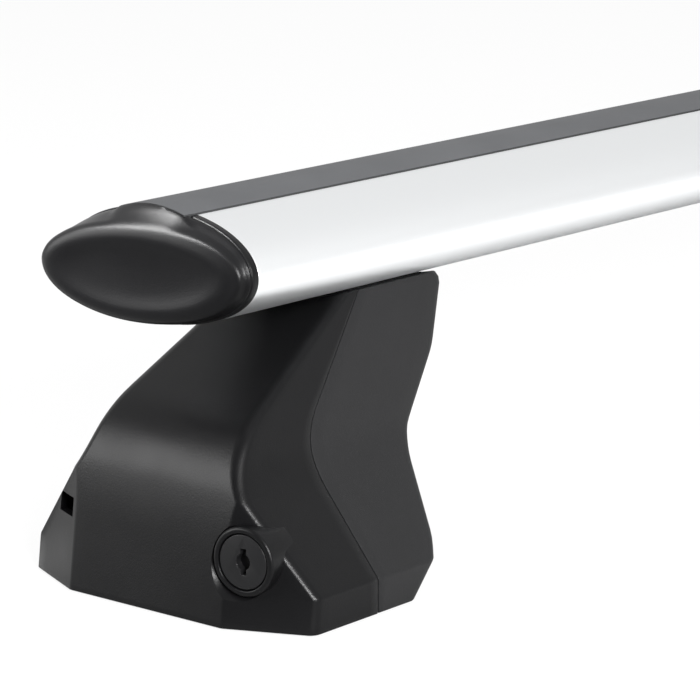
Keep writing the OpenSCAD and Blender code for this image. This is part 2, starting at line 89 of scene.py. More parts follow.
def add_node(tree: bpy.types.NodeTree, kind: str, settings: dict | None = None,
             links: dict | None = None) -> bpy.types.Node:
    """Adds one shader node, sets its values and links its inputs.

    Args:
        tree: the node tree to add to.
        kind: the node's type name.
        settings: attributes by name, or socket values by socket name or index.
        links: output sockets by input socket name or index.

    Returns:
        The new node.
    """
    node = tree.nodes.new(kind)
    for key, value in (settings or {}).items():
        if isinstance(key, int) or key in node.inputs:
            node.inputs[key].default_value = value
        else:
            setattr(node, key, value)
    for key, socket in (links or {}).items():
        tree.links.new(socket, node.inputs[key])
    return node


@dataclass(frozen=True)
class Finish:
    """A surface finish: what the material is, and how its surface was made.

    Attributes:
        name: the material's name.
        colour: its colour, as sRGB hex.
        roughness: its mean roughness.
        metallic: 1 for bare metal.
        specular: its specular level, with 0.5 for plain plastic.
        grain_mm: size of one grain.
        grain_depth_mm: depth of the grain.
        roughness_spread: how far the roughness drifts either way.
        colour_spread: share by which the colour drifts either way.
        lines_mm: spacing of the lines that an extrusion carries along X.
        line_depth_mm: depth of those lines.
        painted_side_shade: share of the colour that is left where the surface doesn't face up, as painted
            shade on its sides.
        slot: name of the material slot that it is meant for; not used.
    """

    name: str
    colour: str
    roughness: float = 0.5
    metallic: float = 0.0
    specular: float = 0.5
    grain_mm: float = 0.0
    grain_depth_mm: float = 0.0
    roughness_spread: float = 0.0
    colour_spread: float = 0.0
    lines_mm: float = 0.0
    line_depth_mm: float = 0.0
    painted_side_shade: float = 1.0
    slot: str = ""

    def material(self) -> bpy.types.Material:
        """Builds the material the first time that it is asked for.

        Returns:
            The material.
        """
        known = bpy.data.materials.get(self.name)
        if known:
            return known
        made = bpy.data.materials.new(self.name)
        made.use_nodes = True
        tree = made.node_tree
        shader = next(n for n in tree.nodes if n.type == "BSDF_PRINCIPLED")
        shader.inputs["Metallic"].default_value = self.metallic
        shader.inputs["Roughness"].default_value = self.roughness
        shader.inputs["Specular IOR Level"].default_value = self.specular
        shader.inputs["Base Color"].default_value = linear(self.colour)
        place = add_node(tree, "ShaderNodeTexCoord").outputs["Object"]
        self.shade_colour(tree, shader, place)
        self.shade_roughness(tree, shader, place)
        self.raise_surface(tree, shader, place)
        made.diffuse_color = linear(self.colour)
        return made

    def drawn_out(self, tree: bpy.types.NodeTree, place: bpy.types.NodeSocket,
                  per_metre: float) -> bpy.types.NodeSocket:
        """Stretches the place along X, so that a noise that reads it shows lines along the draw.

        Args:
            tree: the material's node tree.
            place: the surface's own place, in metres.
            per_metre: how often a line changes in a metre of its length.

        Returns:
            The stretched place.
        """
        across = 1 / (self.lines_mm * MM)
        return add_node(tree, "ShaderNodeMapping", {"Scale": (per_metre, across, across)},
                        {"Vector": place}).outputs["Vector"]

    def shade_colour(self, tree: bpy.types.NodeTree, shader: bpy.types.Node,
                     place: bpy.types.NodeSocket) -> None:
        """Lets the colour drift: in clouds on moulded stock, and in lines on an extrusion; and paints shade
        on the sides where it is asked for.

        Args:
            tree: the material's node tree.
            shader: its surface shader.
            place: the surface's own place, in metres.
        """
        if self.colour_spread <= 0:
            return
        scale = COLOUR_CLOUDS
        if self.lines_mm > 0:
            place, scale = self.drawn_out(tree, place, COLOUR_LINES), 1.0
        cloud = add_node(tree, "ShaderNodeTexNoise", {"Scale": scale, "Detail": 3.0}, {"Vector": place})
        base = linear(self.colour)[:3]
        ramp = add_node(tree, "ShaderNodeValToRGB", None, {"Fac": cloud.outputs["Fac"]})
        ends = zip(ramp.color_ramp.elements, DRIFT, (1 - self.colour_spread, 1 + self.colour_spread))
        for stop, position, gain in ends:
            stop.position = position
            stop.color = tuple(min(c * gain, 1.0) for c in base) + (1.0,)
        shown = ramp.outputs["Color"]
        # Painted shade: the colour darkens on the sides, where the surface doesn't face up
        if self.painted_side_shade < 1:
            shown = self.paint_shade_on_sides(tree, shown)
        tree.links.new(shown, shader.inputs["Base Color"])

    def paint_shade_on_sides(self, tree: bpy.types.NodeTree, colour: bpy.types.NodeSocket) -> bpy.types.NodeSocket:
        """Paints shade into a colour: darkens it where the surface turns away from straight up.

        Args:
            tree: the material's node tree.
            colour: the colour that shows on top.

        Returns:
            The colour with painted shade on its sides.
        """
        normal = add_node(tree, "ShaderNodeNewGeometry").outputs["Normal"]
        facing = add_node(tree, "ShaderNodeSeparateXYZ", None, {0: normal})
        upward = add_node(tree, "ShaderNodeMapRange", {
            "From Min": UPWARD[0], "From Max": UPWARD[1], "To Min": self.painted_side_shade,
        }, {"Value": facing.outputs["Z"]})
        return add_node(tree, "ShaderNodeVectorMath", {"operation": "SCALE"},
                        {0: colour, "Scale": upward.outputs["Result"]}).outputs["Vector"]

    def shade_roughness(self, tree: bpy.types.NodeTree, shader: bpy.types.Node,
                        place: bpy.types.NodeSocket) -> None:
        """Varies the gloss a little, as handling and the mould's texture do.

        Args:
            tree: the material's node tree.
            shader: its surface shader.
            place: the surface's own place, in metres.
        """
        if self.roughness_spread <= 0:
            return
        cloud = add_node(tree, "ShaderNodeTexNoise", {"Scale": GLOSS_CLOUDS, "Detail": 4.0},
                         {"Vector": place})
        span = add_node(tree, "ShaderNodeMapRange", {
            "From Min": DRIFT[0], "From Max": DRIFT[1],
            "To Min": self.roughness - self.roughness_spread,
            "To Max": self.roughness + self.roughness_spread,
        }, {"Value": cloud.outputs["Fac"]})
        tree.links.new(span.outputs["Result"], shader.inputs["Roughness"])

    def raise_surface(self, tree: bpy.types.NodeTree, shader: bpy.types.Node,
                      place: bpy.types.NodeSocket) -> None:
        """Adds the fine relief: a moulded grain, or an extrusion's lengthwise lines.

        Args:
            tree: the material's node tree.
            shader: its surface shader.
            place: the surface's own place, in metres.
        """
        if self.grain_depth_mm > 0:
            settings = {"Scale": 1 / (self.grain_mm * MM), "Detail": 2.0, "Roughness": 0.6}
            depth = self.grain_depth_mm
        elif self.line_depth_mm > 0:
            place = self.drawn_out(tree, place, RELIEF_LINES)
            settings, depth = {"Scale": 1.0, "Detail": 2.0}, self.line_depth_mm
        else:
            return
        height = add_node(tree, "ShaderNodeTexNoise", settings, {"Vector": place}).outputs["Fac"]
        bump = add_node(tree, "ShaderNodeBump", {"Strength": 1.0, "Distance": depth * MM}, {"Height": height})
        tree.links.new(bump.outputs["Normal"], shader.inputs["Normal"])


# Extruded 6063 aluminium, satin anodised: near white, with soft lines along the draw. The real lines
# are about 0.1 mm apart, too fine for the picture, so they are drawn at about 2 mm
ANODISED = Finish(
    "anodised_aluminium", "e6e7e9", roughness=0.2, metallic=1.0, roughness_spread=0.03, colour_spread=0.05,
    lines_mm=2.2, line_depth_mm=0.004, slot="anodised_aluminium")
# Extruded EPDM: a dull charcoal that greys where light grazes it, with painted shade that darkens its
# sides, where they do not face up
STRIP_RUBBER = Finish(
    "epdm_rubber_extruded", "4b4c4e", roughness=0.6, specular=0.3, colour_spread=0.08, painted_side_shade=0.3,
    grain_mm=0.5, grain_depth_mm=0.02, slot="strip_rubber")
# ABS moulded against a spark eroded tool: deep black with a fine even grain. The real grain is about
# 0.2 mm, too fine for the picture, so it is drawn at about 0.5 mm
CAP_ABS = Finish(
    "abs_moulded_cap", "0c0c0d", roughness=0.36, specular=0.16, roughness_spread=0.04, colour_spread=0.06,
    grain_mm=0.5, grain_depth_mm=0.03, slot="cap_plastic")
# The same for the larger cover, from a slightly smoother tool
COVER_ABS = Finish(
    "abs_moulded_cover", "0c0c0d", roughness=0.32, specular=0.16, roughness_spread=0.04, colour_spread=0.06,
    grain_mm=0.5, grain_depth_mm=0.045, slot="cover_plastic")
# Glass filled nylon: a shade paler and duller than the cover
BODY_NYLON = Finish(
    "glass_filled_nylon", "181819", roughness=0.45, specular=0.24, roughness_spread=0.04, colour_spread=0.06,
    grain_mm=0.5, grain_depth_mm=0.06, slot="body_plastic")
# Powder coat over pressed steel: black with a fine orange peel
POWDER_COAT = Finish(
    "powder_coated_steel", "101113", roughness=0.42, specular=0.25, colour_spread=0.05,
    grain_mm=1.2, grain_depth_mm=0.02, slot="bracket_steel")
# Moulded rubber of the pads: dead matt
PAD_RUBBER = Finish(
    "moulded_rubber", "111112", roughness=0.8, specular=0.2, colour_spread=0.08,
    grain_mm=0.8, grain_depth_mm=0.04, slot="pad_rubber")
# Zinc plate on steel: pale grey, slightly cloudy
ZINC = Finish(
    "zinc_plated_steel", "b3b6ba", roughness=0.32, metallic=1.0, roughness_spread=0.08,
    grain_mm=0.9, grain_depth_mm=0.006, slot="zinc_steel")
# Painted die casting of the lock: smooth dark satin
LOCK_SATIN = Finish(
    "satin_black_die_casting", "131314", roughness=0.38, specular=0.25, roughness_spread=0.05,
    colour_spread=0.04, grain_mm=1.0, grain_depth_mm=0.008, slot="lock_face")


def keep(work: bmesh.types.BMesh, name: str) -> bpy.types.Object:
    """Turns a working mesh into an object of the scene.

    Args:
        work: the working mesh, which is freed.
        name: the name of the object and of its mesh.

    Returns:
        The object.
    """
    mesh = bpy.data.meshes.new(name)
    work.to_mesh(mesh)
    work.free()
    holder = bpy.data.objects.new(name, mesh)
    bpy.context.scene.collection.objects.link(holder)
    return holder


def join(work: bmesh.types.BMesh, other: bmesh.types.BMesh) -> None:
    """Moves everything in one working mesh into another.

    Args:
        work: the mesh that takes it.
        other: the mesh that is emptied and freed.
    """
    spare = bpy.data.meshes.new("spare")
    other.to_mesh(spare)
    other.free()
    work.from_mesh(spare)
    bpy.data.meshes.remove(spare)


def soften(work: bmesh.types.BMesh, reach: float, degrees: float, segments: int = 2) -> None:
    """Bevels the edges of a working mesh that turn by more than an angle.

    Args:
        work: the mesh.
        reach: how far the bevel reaches on either side, in millimetres.
        degrees: the angle.
        segments: number of segments across the bevel.
    """
    sharp = [e for e in work.edges if len(e.link_faces) == 2
             and e.calc_face_angle(0.0) > math.radians(degrees)]
    bmesh.ops.bevel(work, geom=sharp, offset=reach * MM, offset_type="OFFSET", segments=segments, profile=0.5,
                    affect="EDGES", clamp_overlap=True, material=-1)


def block(low: Vector, high: Vector, name: str) -> bpy.types.Object:
    """Makes a plain block to cut with.

    Args:
        low: its lowest corner, in millimetres.
        high: its highest corner, in millimetres.
        name: its name.

    Returns:
        The block.
    """
    work = bmesh.new()
    size = Matrix.Diagonal(((high - low) * MM).to_4d())
    bmesh.ops.create_cube(work, size=1.0, matrix=Matrix.Translation((low + high) / 2 * MM) @ size)
    return keep(work, name)


def hand_over(piece: bpy.types.Object, node: str, body: str, finish: Finish, sharp_deg: float) -> None:
    """Finishes a piece, hangs it on the body that it moves with and hides the CAD node that it stands for.

    Args:
        piece: the finished shape.
        node: the CAD node that it stands for.
        body: the body that it rides on.
        finish: its finish.
        sharp_deg: the angle from which its edges are shaded sharp.
    """
    piece.data.materials.clear()
    piece.data.materials.append(finish.material())
    piece.data.shade_smooth()
    piece.data.set_sharp_from_angle(angle=math.radians(sharp_deg))
    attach(piece, body)
    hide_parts(node)


@dataclass
class SkinnedNode:
    """A copy of a CAD node with softened edges and smooth shading, which stands for that node.

    Attributes:
        node: the CAD node.
        body: the body that it rides on.
        finish: its finish.
        edge_mm: how far its sharp edges are bevelled.
        segments: number of segments in a bevelled edge.
        sharp_deg: the angle from which an edge counts as sharp.
    """

    node: str
    body: str
    finish: Finish
    edge_mm: float = 0.4
    segments: int = 3
    sharp_deg: float = 30.0

    def build(self) -> bpy.types.Object:
        """Merges a copy of the node's mesh, bevels its sharp edges and hangs it on its body.

        Returns:
            The new piece.
        """
        work = bmesh.new()
        work.from_mesh(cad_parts[self.node].data)
        bmesh.ops.remove_doubles(work, verts=work.verts, dist=WELD_MM * MM)
        bmesh.ops.dissolve_degenerate(work, edges=work.edges, dist=WELD_MM / 2 * MM)
        bmesh.ops.dissolve_limit(work, angle_limit=math.radians(FLAT_DEG), verts=work.verts,
                                 edges=work.edges)
        soften(work, self.edge_mm, self.sharp_deg, self.segments)
        piece = keep(work, self.node + "_skin")
        hand_over(piece, self.node, self.body, self.finish, self.sharp_deg)
        return piece


def dress_node(name: str, finish: Finish) -> None:
    """Gives a CAD node that keeps its own mesh a finish.

    Args:
        name: the node's name.
        finish: the finish for its surface.
    """
    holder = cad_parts[name]
    holder.data.materials.clear()
    holder.data.materials.append(finish.material())


def fillet(corners: list[tuple[float, float, float]], steps: int = 14) -> list[tuple[float, float]]:
    """Rounds the corners of an open path.

    Args:
        corners: points with the radius of each corner, in millimetres.
        steps: number of segments in each arc.

    Returns:
        The path's points with an arc in place of each rounded corner.
    """
    path = []
    for i, (x, z, radius) in enumerate(corners):
        here = Vector((x, z))
        if radius <= 0 or i in (0, len(corners) - 1):
            path.append((x, z))
            continue
        back = (Vector(corners[i - 1][:2]) - here).normalized()
        on = (Vector(corners[i + 1][:2]) - here).normalized()
        half = back.angle(on) / 2
        centre = here + (back + on).normalized() * radius / math.sin(half)
        start = here + back * radius / math.tan(half) - centre
        swing = start.angle_signed(here + on * radius / math.tan(half) - centre)
        for step in range(steps + 1):
            path.append(tuple(centre + Matrix.Rotation(-swing * step / steps, 2) @ start))
    return path


def at_height(path: list[tuple[float, float]], z: float) -> float:
    """Reads a path that rises with z.

    Args:
        path: its points, as a distance and a height.
        z: the height to read it at.

    Returns:
        The path's distance at that height.
    """
    for (x0, z0), (x1, z1) in zip(path, path[1:]):
        if z <= z1:
            return x0 + (x1 - x0) * (z - z0) / (z1 - z0) if z1 > z0 else x1
    return path[-1][0]


def crossing(a: Vector, a_reach: float, b: Vector, b_reach: float) -> Vector:
    """Finds where two lines meet.

    Args:
        a: unit normal of the first line.
        a_reach: its distance from the origin along that normal.
        b: unit normal of the second line.
        b_reach: its distance from the origin along that normal.

    Returns:
        The meeting point.
    """
    size = a.x * b.y - a.y * b.x
    return Vector(((a_reach * b.y - b_reach * a.y) / size, (a.x * b_reach - b.x * a_reach) / size))


# Points along the stretches of a section, and the least radius that a corner inside a wall keeps
FACE_POINTS, BEVEL_POINTS, SIDE_POINTS, LIP_POINTS = 10, 6, 8, 4
LEAST_R = 0.3
# Steps that close in on the height where a point's column meets the bar
ROOF_STEPS = 12
# Reach of the thicker wall behind the lock, and the width over which it fades
THICK_REACH, THICK_FADE = 19.0, 3.0


class Part(Enum):
    """What is made from a foot's outer form: its two mouldings and the lip that joins them."""

    COVER = "front_cover"
    BODY = "rear_body"
    LIP = "lip"


@dataclass
class FootForm:
    """Outer form of a foot: level sections with rounded corners, stacked up its height.

    It is in the foot's own axes: X from the face towards the back, Y across and Z up, in millimetres.
    A corner of a profile is its distance, its height and the radius it is rounded by.

    Attributes:
        base_w: width at the bottom.
        face_w: width of the front face.
        chamfer_run: how far back the chamfer beside the face runs.
        shoulder: height and radius of the corner where the sides turn in.
        waist: half width, height and radius of the corner below the neck.
        neck_w: width right under the bar.
        under_bar: height of the bar's underside.
        top_z: height that the profiles run up to, past the bar's underside.
        face_lean: how far the chamfer's corner leans back for each millimetre of height.
        chin: corner of the front profile low on the face.
        brow: corner of the front profile where the face turns into the slope.
        slope_run: how far the slope runs back for each millimetre of height.
        back_path: corners of the back profile.
        seam_path: corners of the seam.
        seam_gap: gap along the seam.
        bar_gap: gap between the mouldings and the bar.
        bar_half: half the bar's chord and half its height.
        hem: height of the lower edge.
        ridge_r: radius of the ridges.
        row_step: step between the sections.
        lip_reach: how far the lip runs either side of the seam.
    """

    base_w: float = 116.6
    face_w: float = 63.0
    chamfer_run: float = 12.0
    shoulder: tuple[float, float] = (11.5, 2.0)
    waist: tuple[float, float, float] = (32.9, 42.2, 35.0)
    neck_w: float = 42.6
    under_bar: float = 88.6
    top_z: float = 97.0
    face_lean: float = 0.13
    chin: tuple[float, float, float] = (4.22, 32.5, 150.0)
    brow: tuple[float, float, float] = (9.54, 54.65, 34.0)
    slope_run: float = 1.698
    back_path: tuple = ((61.0, 0.0, 0.0), (76.2, 16.6, 18.0), (90.8, 46.3, 12.0), (110.3, 67.8, 24.0),
                        (120.9, 88.2, 3.0), (116.5, 92.5, 0.0))
    seam_path: tuple = ((42.0, 0.0, 0.0), (42.0, 53.0, 20.0), (84.3, 97.0, 0.0))
    seam_gap: float = 0.4
    bar_gap: float = 0.9
    bar_half: tuple[float, float] = (37.5, 17.7)
    hem: float = 0.6
    ridge_r: float = 4.0
    row_step: float = 2.0
    lip_reach: float = 3.0

    def __post_init__(self) -> None:
        """Works out the profiles that every section reads."""
        lean = (self.waist[0] - self.neck_w / 2) / (self.under_bar - self.waist[1])
        slope_end = self.brow[0] + self.slope_run * (self.top_z - self.brow[1])
        side_end = self.waist[0] - lean * (self.top_z - self.waist[1])
        self.front = fillet([(0.0, 0.0, 0.0), self.chin, self.brow, (slope_end, self.top_z, 0.0)])
        self.back = fillet(list(self.back_path))
        self.side = fillet([(self.base_w / 2, 0.0, 0.0), (self.base_w / 2, *self.shoulder), self.waist,
                            (side_end, self.top_z, 0.0)])
        self.seam = fillet(list(self.seam_path))

    def roof(self, y: float) -> float:
        """Height of the bar's underside at y, less the gap that the mouldings keep to it."""
        half, rise = self.bar_half[0] + self.bar_gap, self.bar_half[1] + self.bar_gap
        return self.under_bar + self.bar_half[1] - rise * math.sqrt(max(1 - (y / half) ** 2, 0.0))

    def half_section(self, z: float, part: Part, shrink: float, reach: float) -> list[Vector]:
        """One side of a level section, from the middle of the front or of the back to the seam.

        Args:
            z: height of the section.
            part: what the section belongs to.
            shrink: how far the section is moved inwards.
            reach: how far it stops short of the seam's middle, or runs past it where negative.

        Returns:
            Points on the side towards -Y, with x and y in the foot's own axes.
        """
        r = max(self.ridge_r - shrink, LEAST_R)
        turn = math.atan2(self.chamfer_run, (self.base_w - self.face_w) / 2)
        face, bevel = Vector((-1, 0)), Vector((-math.cos(turn), -math.sin(turn)))
        flank, rear = Vector((0, -1)), Vector((1, 0))
        inner = shrink + r
        face_d = -at_height(self.front, z) - inner
        bevel_d = bevel.dot(Vector((self.face_lean * z, -self.face_w / 2))) - inner
        flank_d = at_height(self.side, z) - inner
        rear_d = at_height(self.back, z) - inner
        seam = at_height(self.seam, z)
        if part is Part.COVER:
            near, far = crossing(face, face_d, bevel, bevel_d), crossing(bevel, bevel_d, flank, flank_d)
            if far.y > near.y:
                near = far = crossing(face, face_d, flank, flank_d)
            pts = self.run(Vector((near.x - r, 0)), near + face * r, FACE_POINTS)
            pts += self.arc(near, face, bevel, r)
            pts += self.run(near + bevel * r, far + bevel * r, BEVEL_POINTS)[1:-1]
            pts += self.arc(far, bevel, flank, r)
            end = Vector((seam - reach, far.y - r))
            return pts + self.run(far + flank * r, end, SIDE_POINTS)[1:]
        far = crossing(rear, rear_d, flank, flank_d)
        if part is Part.LIP:
            back_end = Vector((seam + self.lip_reach, far.y - r))
            return self.run(back_end, Vector((seam - self.lip_reach, far.y - r)), LIP_POINTS)
        pts = self.run(Vector((far.x + r, 0)), far + rear * r, SIDE_POINTS)
        pts += self.arc(far, rear, flank, r)
        return pts + self.run(far + flank * r, Vector((seam + reach, far.y - r)), SIDE_POINTS)[1:]

    @staticmethod
    def run(a: Vector, b: Vector, count: int) -> list[Vector]:
        """Gives evenly spaced points from a to b, both included."""
        return [a.lerp(b, i / (count - 1)) for i in range(count)]

    @staticmethod
    def arc(centre: Vector, start: Vector, end: Vector, radius: float, steps: int = 7) -> list[Vector]:
        """Lays points on an arc, without its first one, as the run before it has that.

        Args:
            centre: the arc's centre.
            start: unit direction from the centre to its start.
            end: unit direction to its end.
            radius: its radius.
            steps: number of segments.

        Returns:
            The points.
        """
        swing = start.angle_signed(end)
        turns = [Matrix.Rotation(-swing * i / steps, 2) for i in range(1, steps + 1)]
        return [centre + radius * (turn @ start) for turn in turns]

    def rows(self, low: float) -> list[float]:
        """Chooses the heights of the sections: an even step, and closer ones round the shoulder.

        Args:
            low: the lowest height.

        Returns:
            The heights, rising.
        """
        last, shoulder_reach, least_step = 92.0, 2.2 * self.shoulder[1], 0.5
        even = [low + self.row_step * i for i in range(int((last - low) / self.row_step) + 1)]
        near = [z for _, z in self.side if abs(z - self.shoulder[0]) < shoulder_reach]
        spread = {round(z, 3) for z in even if all(abs(z - n) > least_step for n in near)}
        return sorted(spread | {round(z, 3) for z in near if z > low})

    def section(self, z: float, part: Part, shrink: float, reach: float) -> list[Vector]:
        """Lays one whole level section: from seam to seam, or across the lip on one side.

        Args:
            z: height of the section.
            part: what the section belongs to.
            shrink: how far it is moved inwards.
            reach: how far it stops short of the seam's middle.

        Returns:
            Its points, with x and y in the foot's own axes.
        """
        half = self.half_section(z, part, shrink, reach)
        if part is Part.LIP:
            return half
        return [Vector((p.x, -p.y)) for p in reversed(half[1:])] + half

    def skin(self, part: Part, shrink: float, reach: float, low: float) -> bmesh.types.BMesh:
        """Lays a grid over the outer form of one moulding, from its lower edge to the bar.

        Args:
            part: what the grid is for.
            shrink: how far the grid lies inside the outer form.
            reach: how far it stops short of the seam's middle.
            low: height of its lower edge.

        Returns:
            The grid, in the foot's own axes and in metres.
        """
        heights = self.rows(low)
        count = len(self.section(low, part, shrink, reach))
        work = bmesh.new()
        made = bmesh.ops.create_grid(work, x_segments=count - 1, y_segments=len(heights) - 1, size=1.0)
        spots = sorted(made["verts"], key=lambda v: (round(v.co.y, 6), round(v.co.x, 6)))
        split = self.seam_path[1][1]
        for j in range(count):
            top = heights[-1]
            for _ in range(ROOF_STEPS):
                top = (top + self.roof(self.section(top, part, shrink, reach)[j].y)) / 2
            for i, z in enumerate(heights):
                level = z if z <= split else split + (z - split) * (top - split) / (heights[-1] - split)
                point = self.section(level, part, shrink, reach)[j]
                spots[i * count + j].co = Vector((point.x, point.y, level)) * MM
        return work

    def shell(self, part: Part, wall: float, reach: float, low: float, shrink: float = 0.0,
              thick_at: tuple[Vector, float] | None = None) -> bmesh.types.BMesh:
        """Makes a closed moulding: outer grid, inner grid and the edge between them.

        Args:
            part: what is made.
            wall: its wall.
            reach: how far it stops short of the seam's middle.
            low: height of its lower edge.
            shrink: how far its outside lies inside the foot's outer form.
            thick_at: a place, in metres, and the extra wall there.

        Returns:
            The moulding as one closed mesh.
        """
        work = self.skin(part, shrink, reach, low)
        inner = self.skin(part, shrink + wall, reach, low)
        if thick_at:
            place, extra = thick_at
            for vert in inner.verts:
                away = (vert.co - place).length / MM
                vert.co.x += extra * MM * min(max((THICK_REACH - away) / THICK_FADE, 0.0), 1.0)
        join(work, inner)
        rim = [e for e in work.edges if e.is_boundary]
        bmesh.ops.bridge_loops(work, edges=rim)
        bmesh.ops.remove_doubles(work, verts=work.verts, dist=GRID_WELD_MM * MM)
        bmesh.ops.dissolve_degenerate(work, edges=work.edges, dist=WELD_MM * MM)
        bmesh.ops.recalc_face_normals(work, faces=work.faces)
        return work


def spun(profile: list[tuple[float, float]], turn: Matrix, steps: int = 96) -> bmesh.types.BMesh:
    """Spins a closed profile round the X axis.

    Args:
        profile: points as distance along the axis and radius, in millimetres.
        turn: placement of the axis, in metres.
        steps: number of segments round the axis.

    Returns:
        The spun solid.
    """
    work = bmesh.new()
    verts = [work.verts.new((x * MM, 0.0, r * MM)) for x, r in profile]
    edges = [work.edges.new((verts[i - 1], verts[i])) for i in range(len(verts))]
    bmesh.ops.spin(work, geom=verts + edges, cent=(0, 0, 0), axis=(1, 0, 0), angle=math.tau, steps=steps)
    bmesh.ops.remove_doubles(work, verts=work.verts, dist=WELD_MM * MM)
    bmesh.ops.recalc_face_normals(work, faces=work.faces)
    bmesh.ops.transform(work, matrix=turn, verts=work.verts)
    return work


def soft_corner(x: float, r: float, reach: float, along: int, across: int,
                steps: int = 4) -> list[tuple[float, float]]:
    """Points of a rounded corner in a spun profile.

    Args:
        x: distance of the corner along the axis.
        r: radius at the corner.
        reach: radius of the rounding.
        along: 1 where the body lies towards +X of the corner and -1 where towards -X.
        across: 1 where the body lies outside the corner's radius and -1 where inside it.
        steps: number of segments.

    Returns:
        Points from the one along the axis to the one on the face.
    """
    cx, cr = x + along * reach, r + across * reach
    turns = [math.pi / 2 * i / steps for i in range(steps + 1)]
    return [(cx - along * reach * math.sin(t), cr - across * reach * math.cos(t)) for t in turns]


def cut_away(holder: bpy.types.Object, cutters: list[bpy.types.Object]) -> None:
    """Subtracts closed solids from a closed mesh and keeps the result as plain mesh data.

    Args:
        holder: the object that is cut.
        cutters: the solids, which are removed afterwards.
    """
    for cutter in cutters:
        cut = holder.modifiers.new(cutter.name, "BOOLEAN")
        cut.operation, cut.solver, cut.object = "DIFFERENCE", "EXACT", cutter
    graph = bpy.context.evaluated_depsgraph_get()
    holder.data = bpy.data.meshes.new_from_object(holder.evaluated_get(graph))
    holder.modifiers.clear()
    for cutter in cutters:
        bpy.data.objects.remove(cutter)


@dataclass
class LockFit:
    """Where the lock sits in the cover and the sizes of its boss and recess, in millimetres.

    Distances along the lock's axis run from its place on the cover's face into the foot.

    Attributes:
        y: distance of the lock from the foot's middle, towards -Y.
        z: its height.
        yaw_deg: angle that its axis is turned away from the bar's.
        boss_r: radius of the boss.
        boss_face: distance of the boss's front.
        boss_end: distance of the boss's back.
        boss_rim: rounding of its outer rim.
        tube_r: radius of the tube that the barrel runs in.
        tube_end: distance of the tube's end.
        bore_r: radius of its bore.
        seat_r: radius of the seat of the lock's face.
        seat_x: distance of the seat's floor.
        seat_rim: rounding of the seat's rim.
        recess_r: radius of the recess round the boss.
        recess_from: distance where the recess starts to narrow.
        recess_to: distance of the recess's floor.
        foot_in: how far the recess's floor reaches in under the boss.
        foot_blend: points of the blend at the boss's foot, as distances back from the floor and outwards.
    """

    y: float = 38.2
    z: float = 21.8
    yaw_deg: float = 7.0
    boss_r: float = 10.8
    boss_face: float = 3.0
    boss_end: float = 16.0
    boss_rim: float = 1.0
    tube_r: float = 7.87
    tube_end: float = 23.8
    bore_r: float = 6.07
    seat_r: float = 8.9
    seat_x: float = 7.5
    seat_rim: float = 0.3
    recess_r: float = 14.4
    recess_from: float = 1.2
    recess_to: float = 6.0
    foot_in: float = 0.3
    foot_blend: tuple = ((0.7, 0.8), (0.2, 0.3), (0.0, 0.0))

    def axes(self) -> Matrix:
        """The lock's own axes in the foot's."""
        place = Vector((0.0, -self.y, self.z)) * MM
        return Matrix.Translation(place) @ Matrix.Rotation(math.radians(self.yaw_deg), 4, "Z")

    def boss(self) -> bmesh.types.BMesh:
        """Spins the round boss with a rounded outer rim, and the tube the barrel runs in.

        Returns:
            The boss, in the foot's own axes.
        """
        profile = soft_corner(self.boss_face, self.boss_r, self.boss_rim, 1, -1, steps=5)
        profile += reversed(soft_corner(self.boss_face, self.seat_r, self.seat_rim, 1, 1, steps=3))
        profile += [(self.seat_x, self.seat_r), (self.seat_x, self.bore_r), (self.tube_end, self.bore_r),
                    (self.tube_end, self.tube_r), (self.boss_end, self.tube_r), (self.boss_end, self.boss_r)]
        return spun(profile, self.axes())

    def recess(self) -> bmesh.types.BMesh:
        """Spins the solid that is cut away round the boss, with a blended foot.

        Returns:
            The solid, in the foot's own axes.
        """
        root, outside = self.boss_r - self.foot_in, -30.0
        profile = [(outside, 0.0), (outside, self.recess_r), (self.recess_from, self.recess_r)]
        profile += [(self.recess_to - back, root + out) for back, out in self.foot_blend]
        return spun(profile + [(self.recess_to, 0.0)], self.axes())


def ease(share: float) -> float:
    """A smooth step from 0 to 1."""
    share = min(max(share, 0.0), 1.0)
    return share * share * (3 - 2 * share)


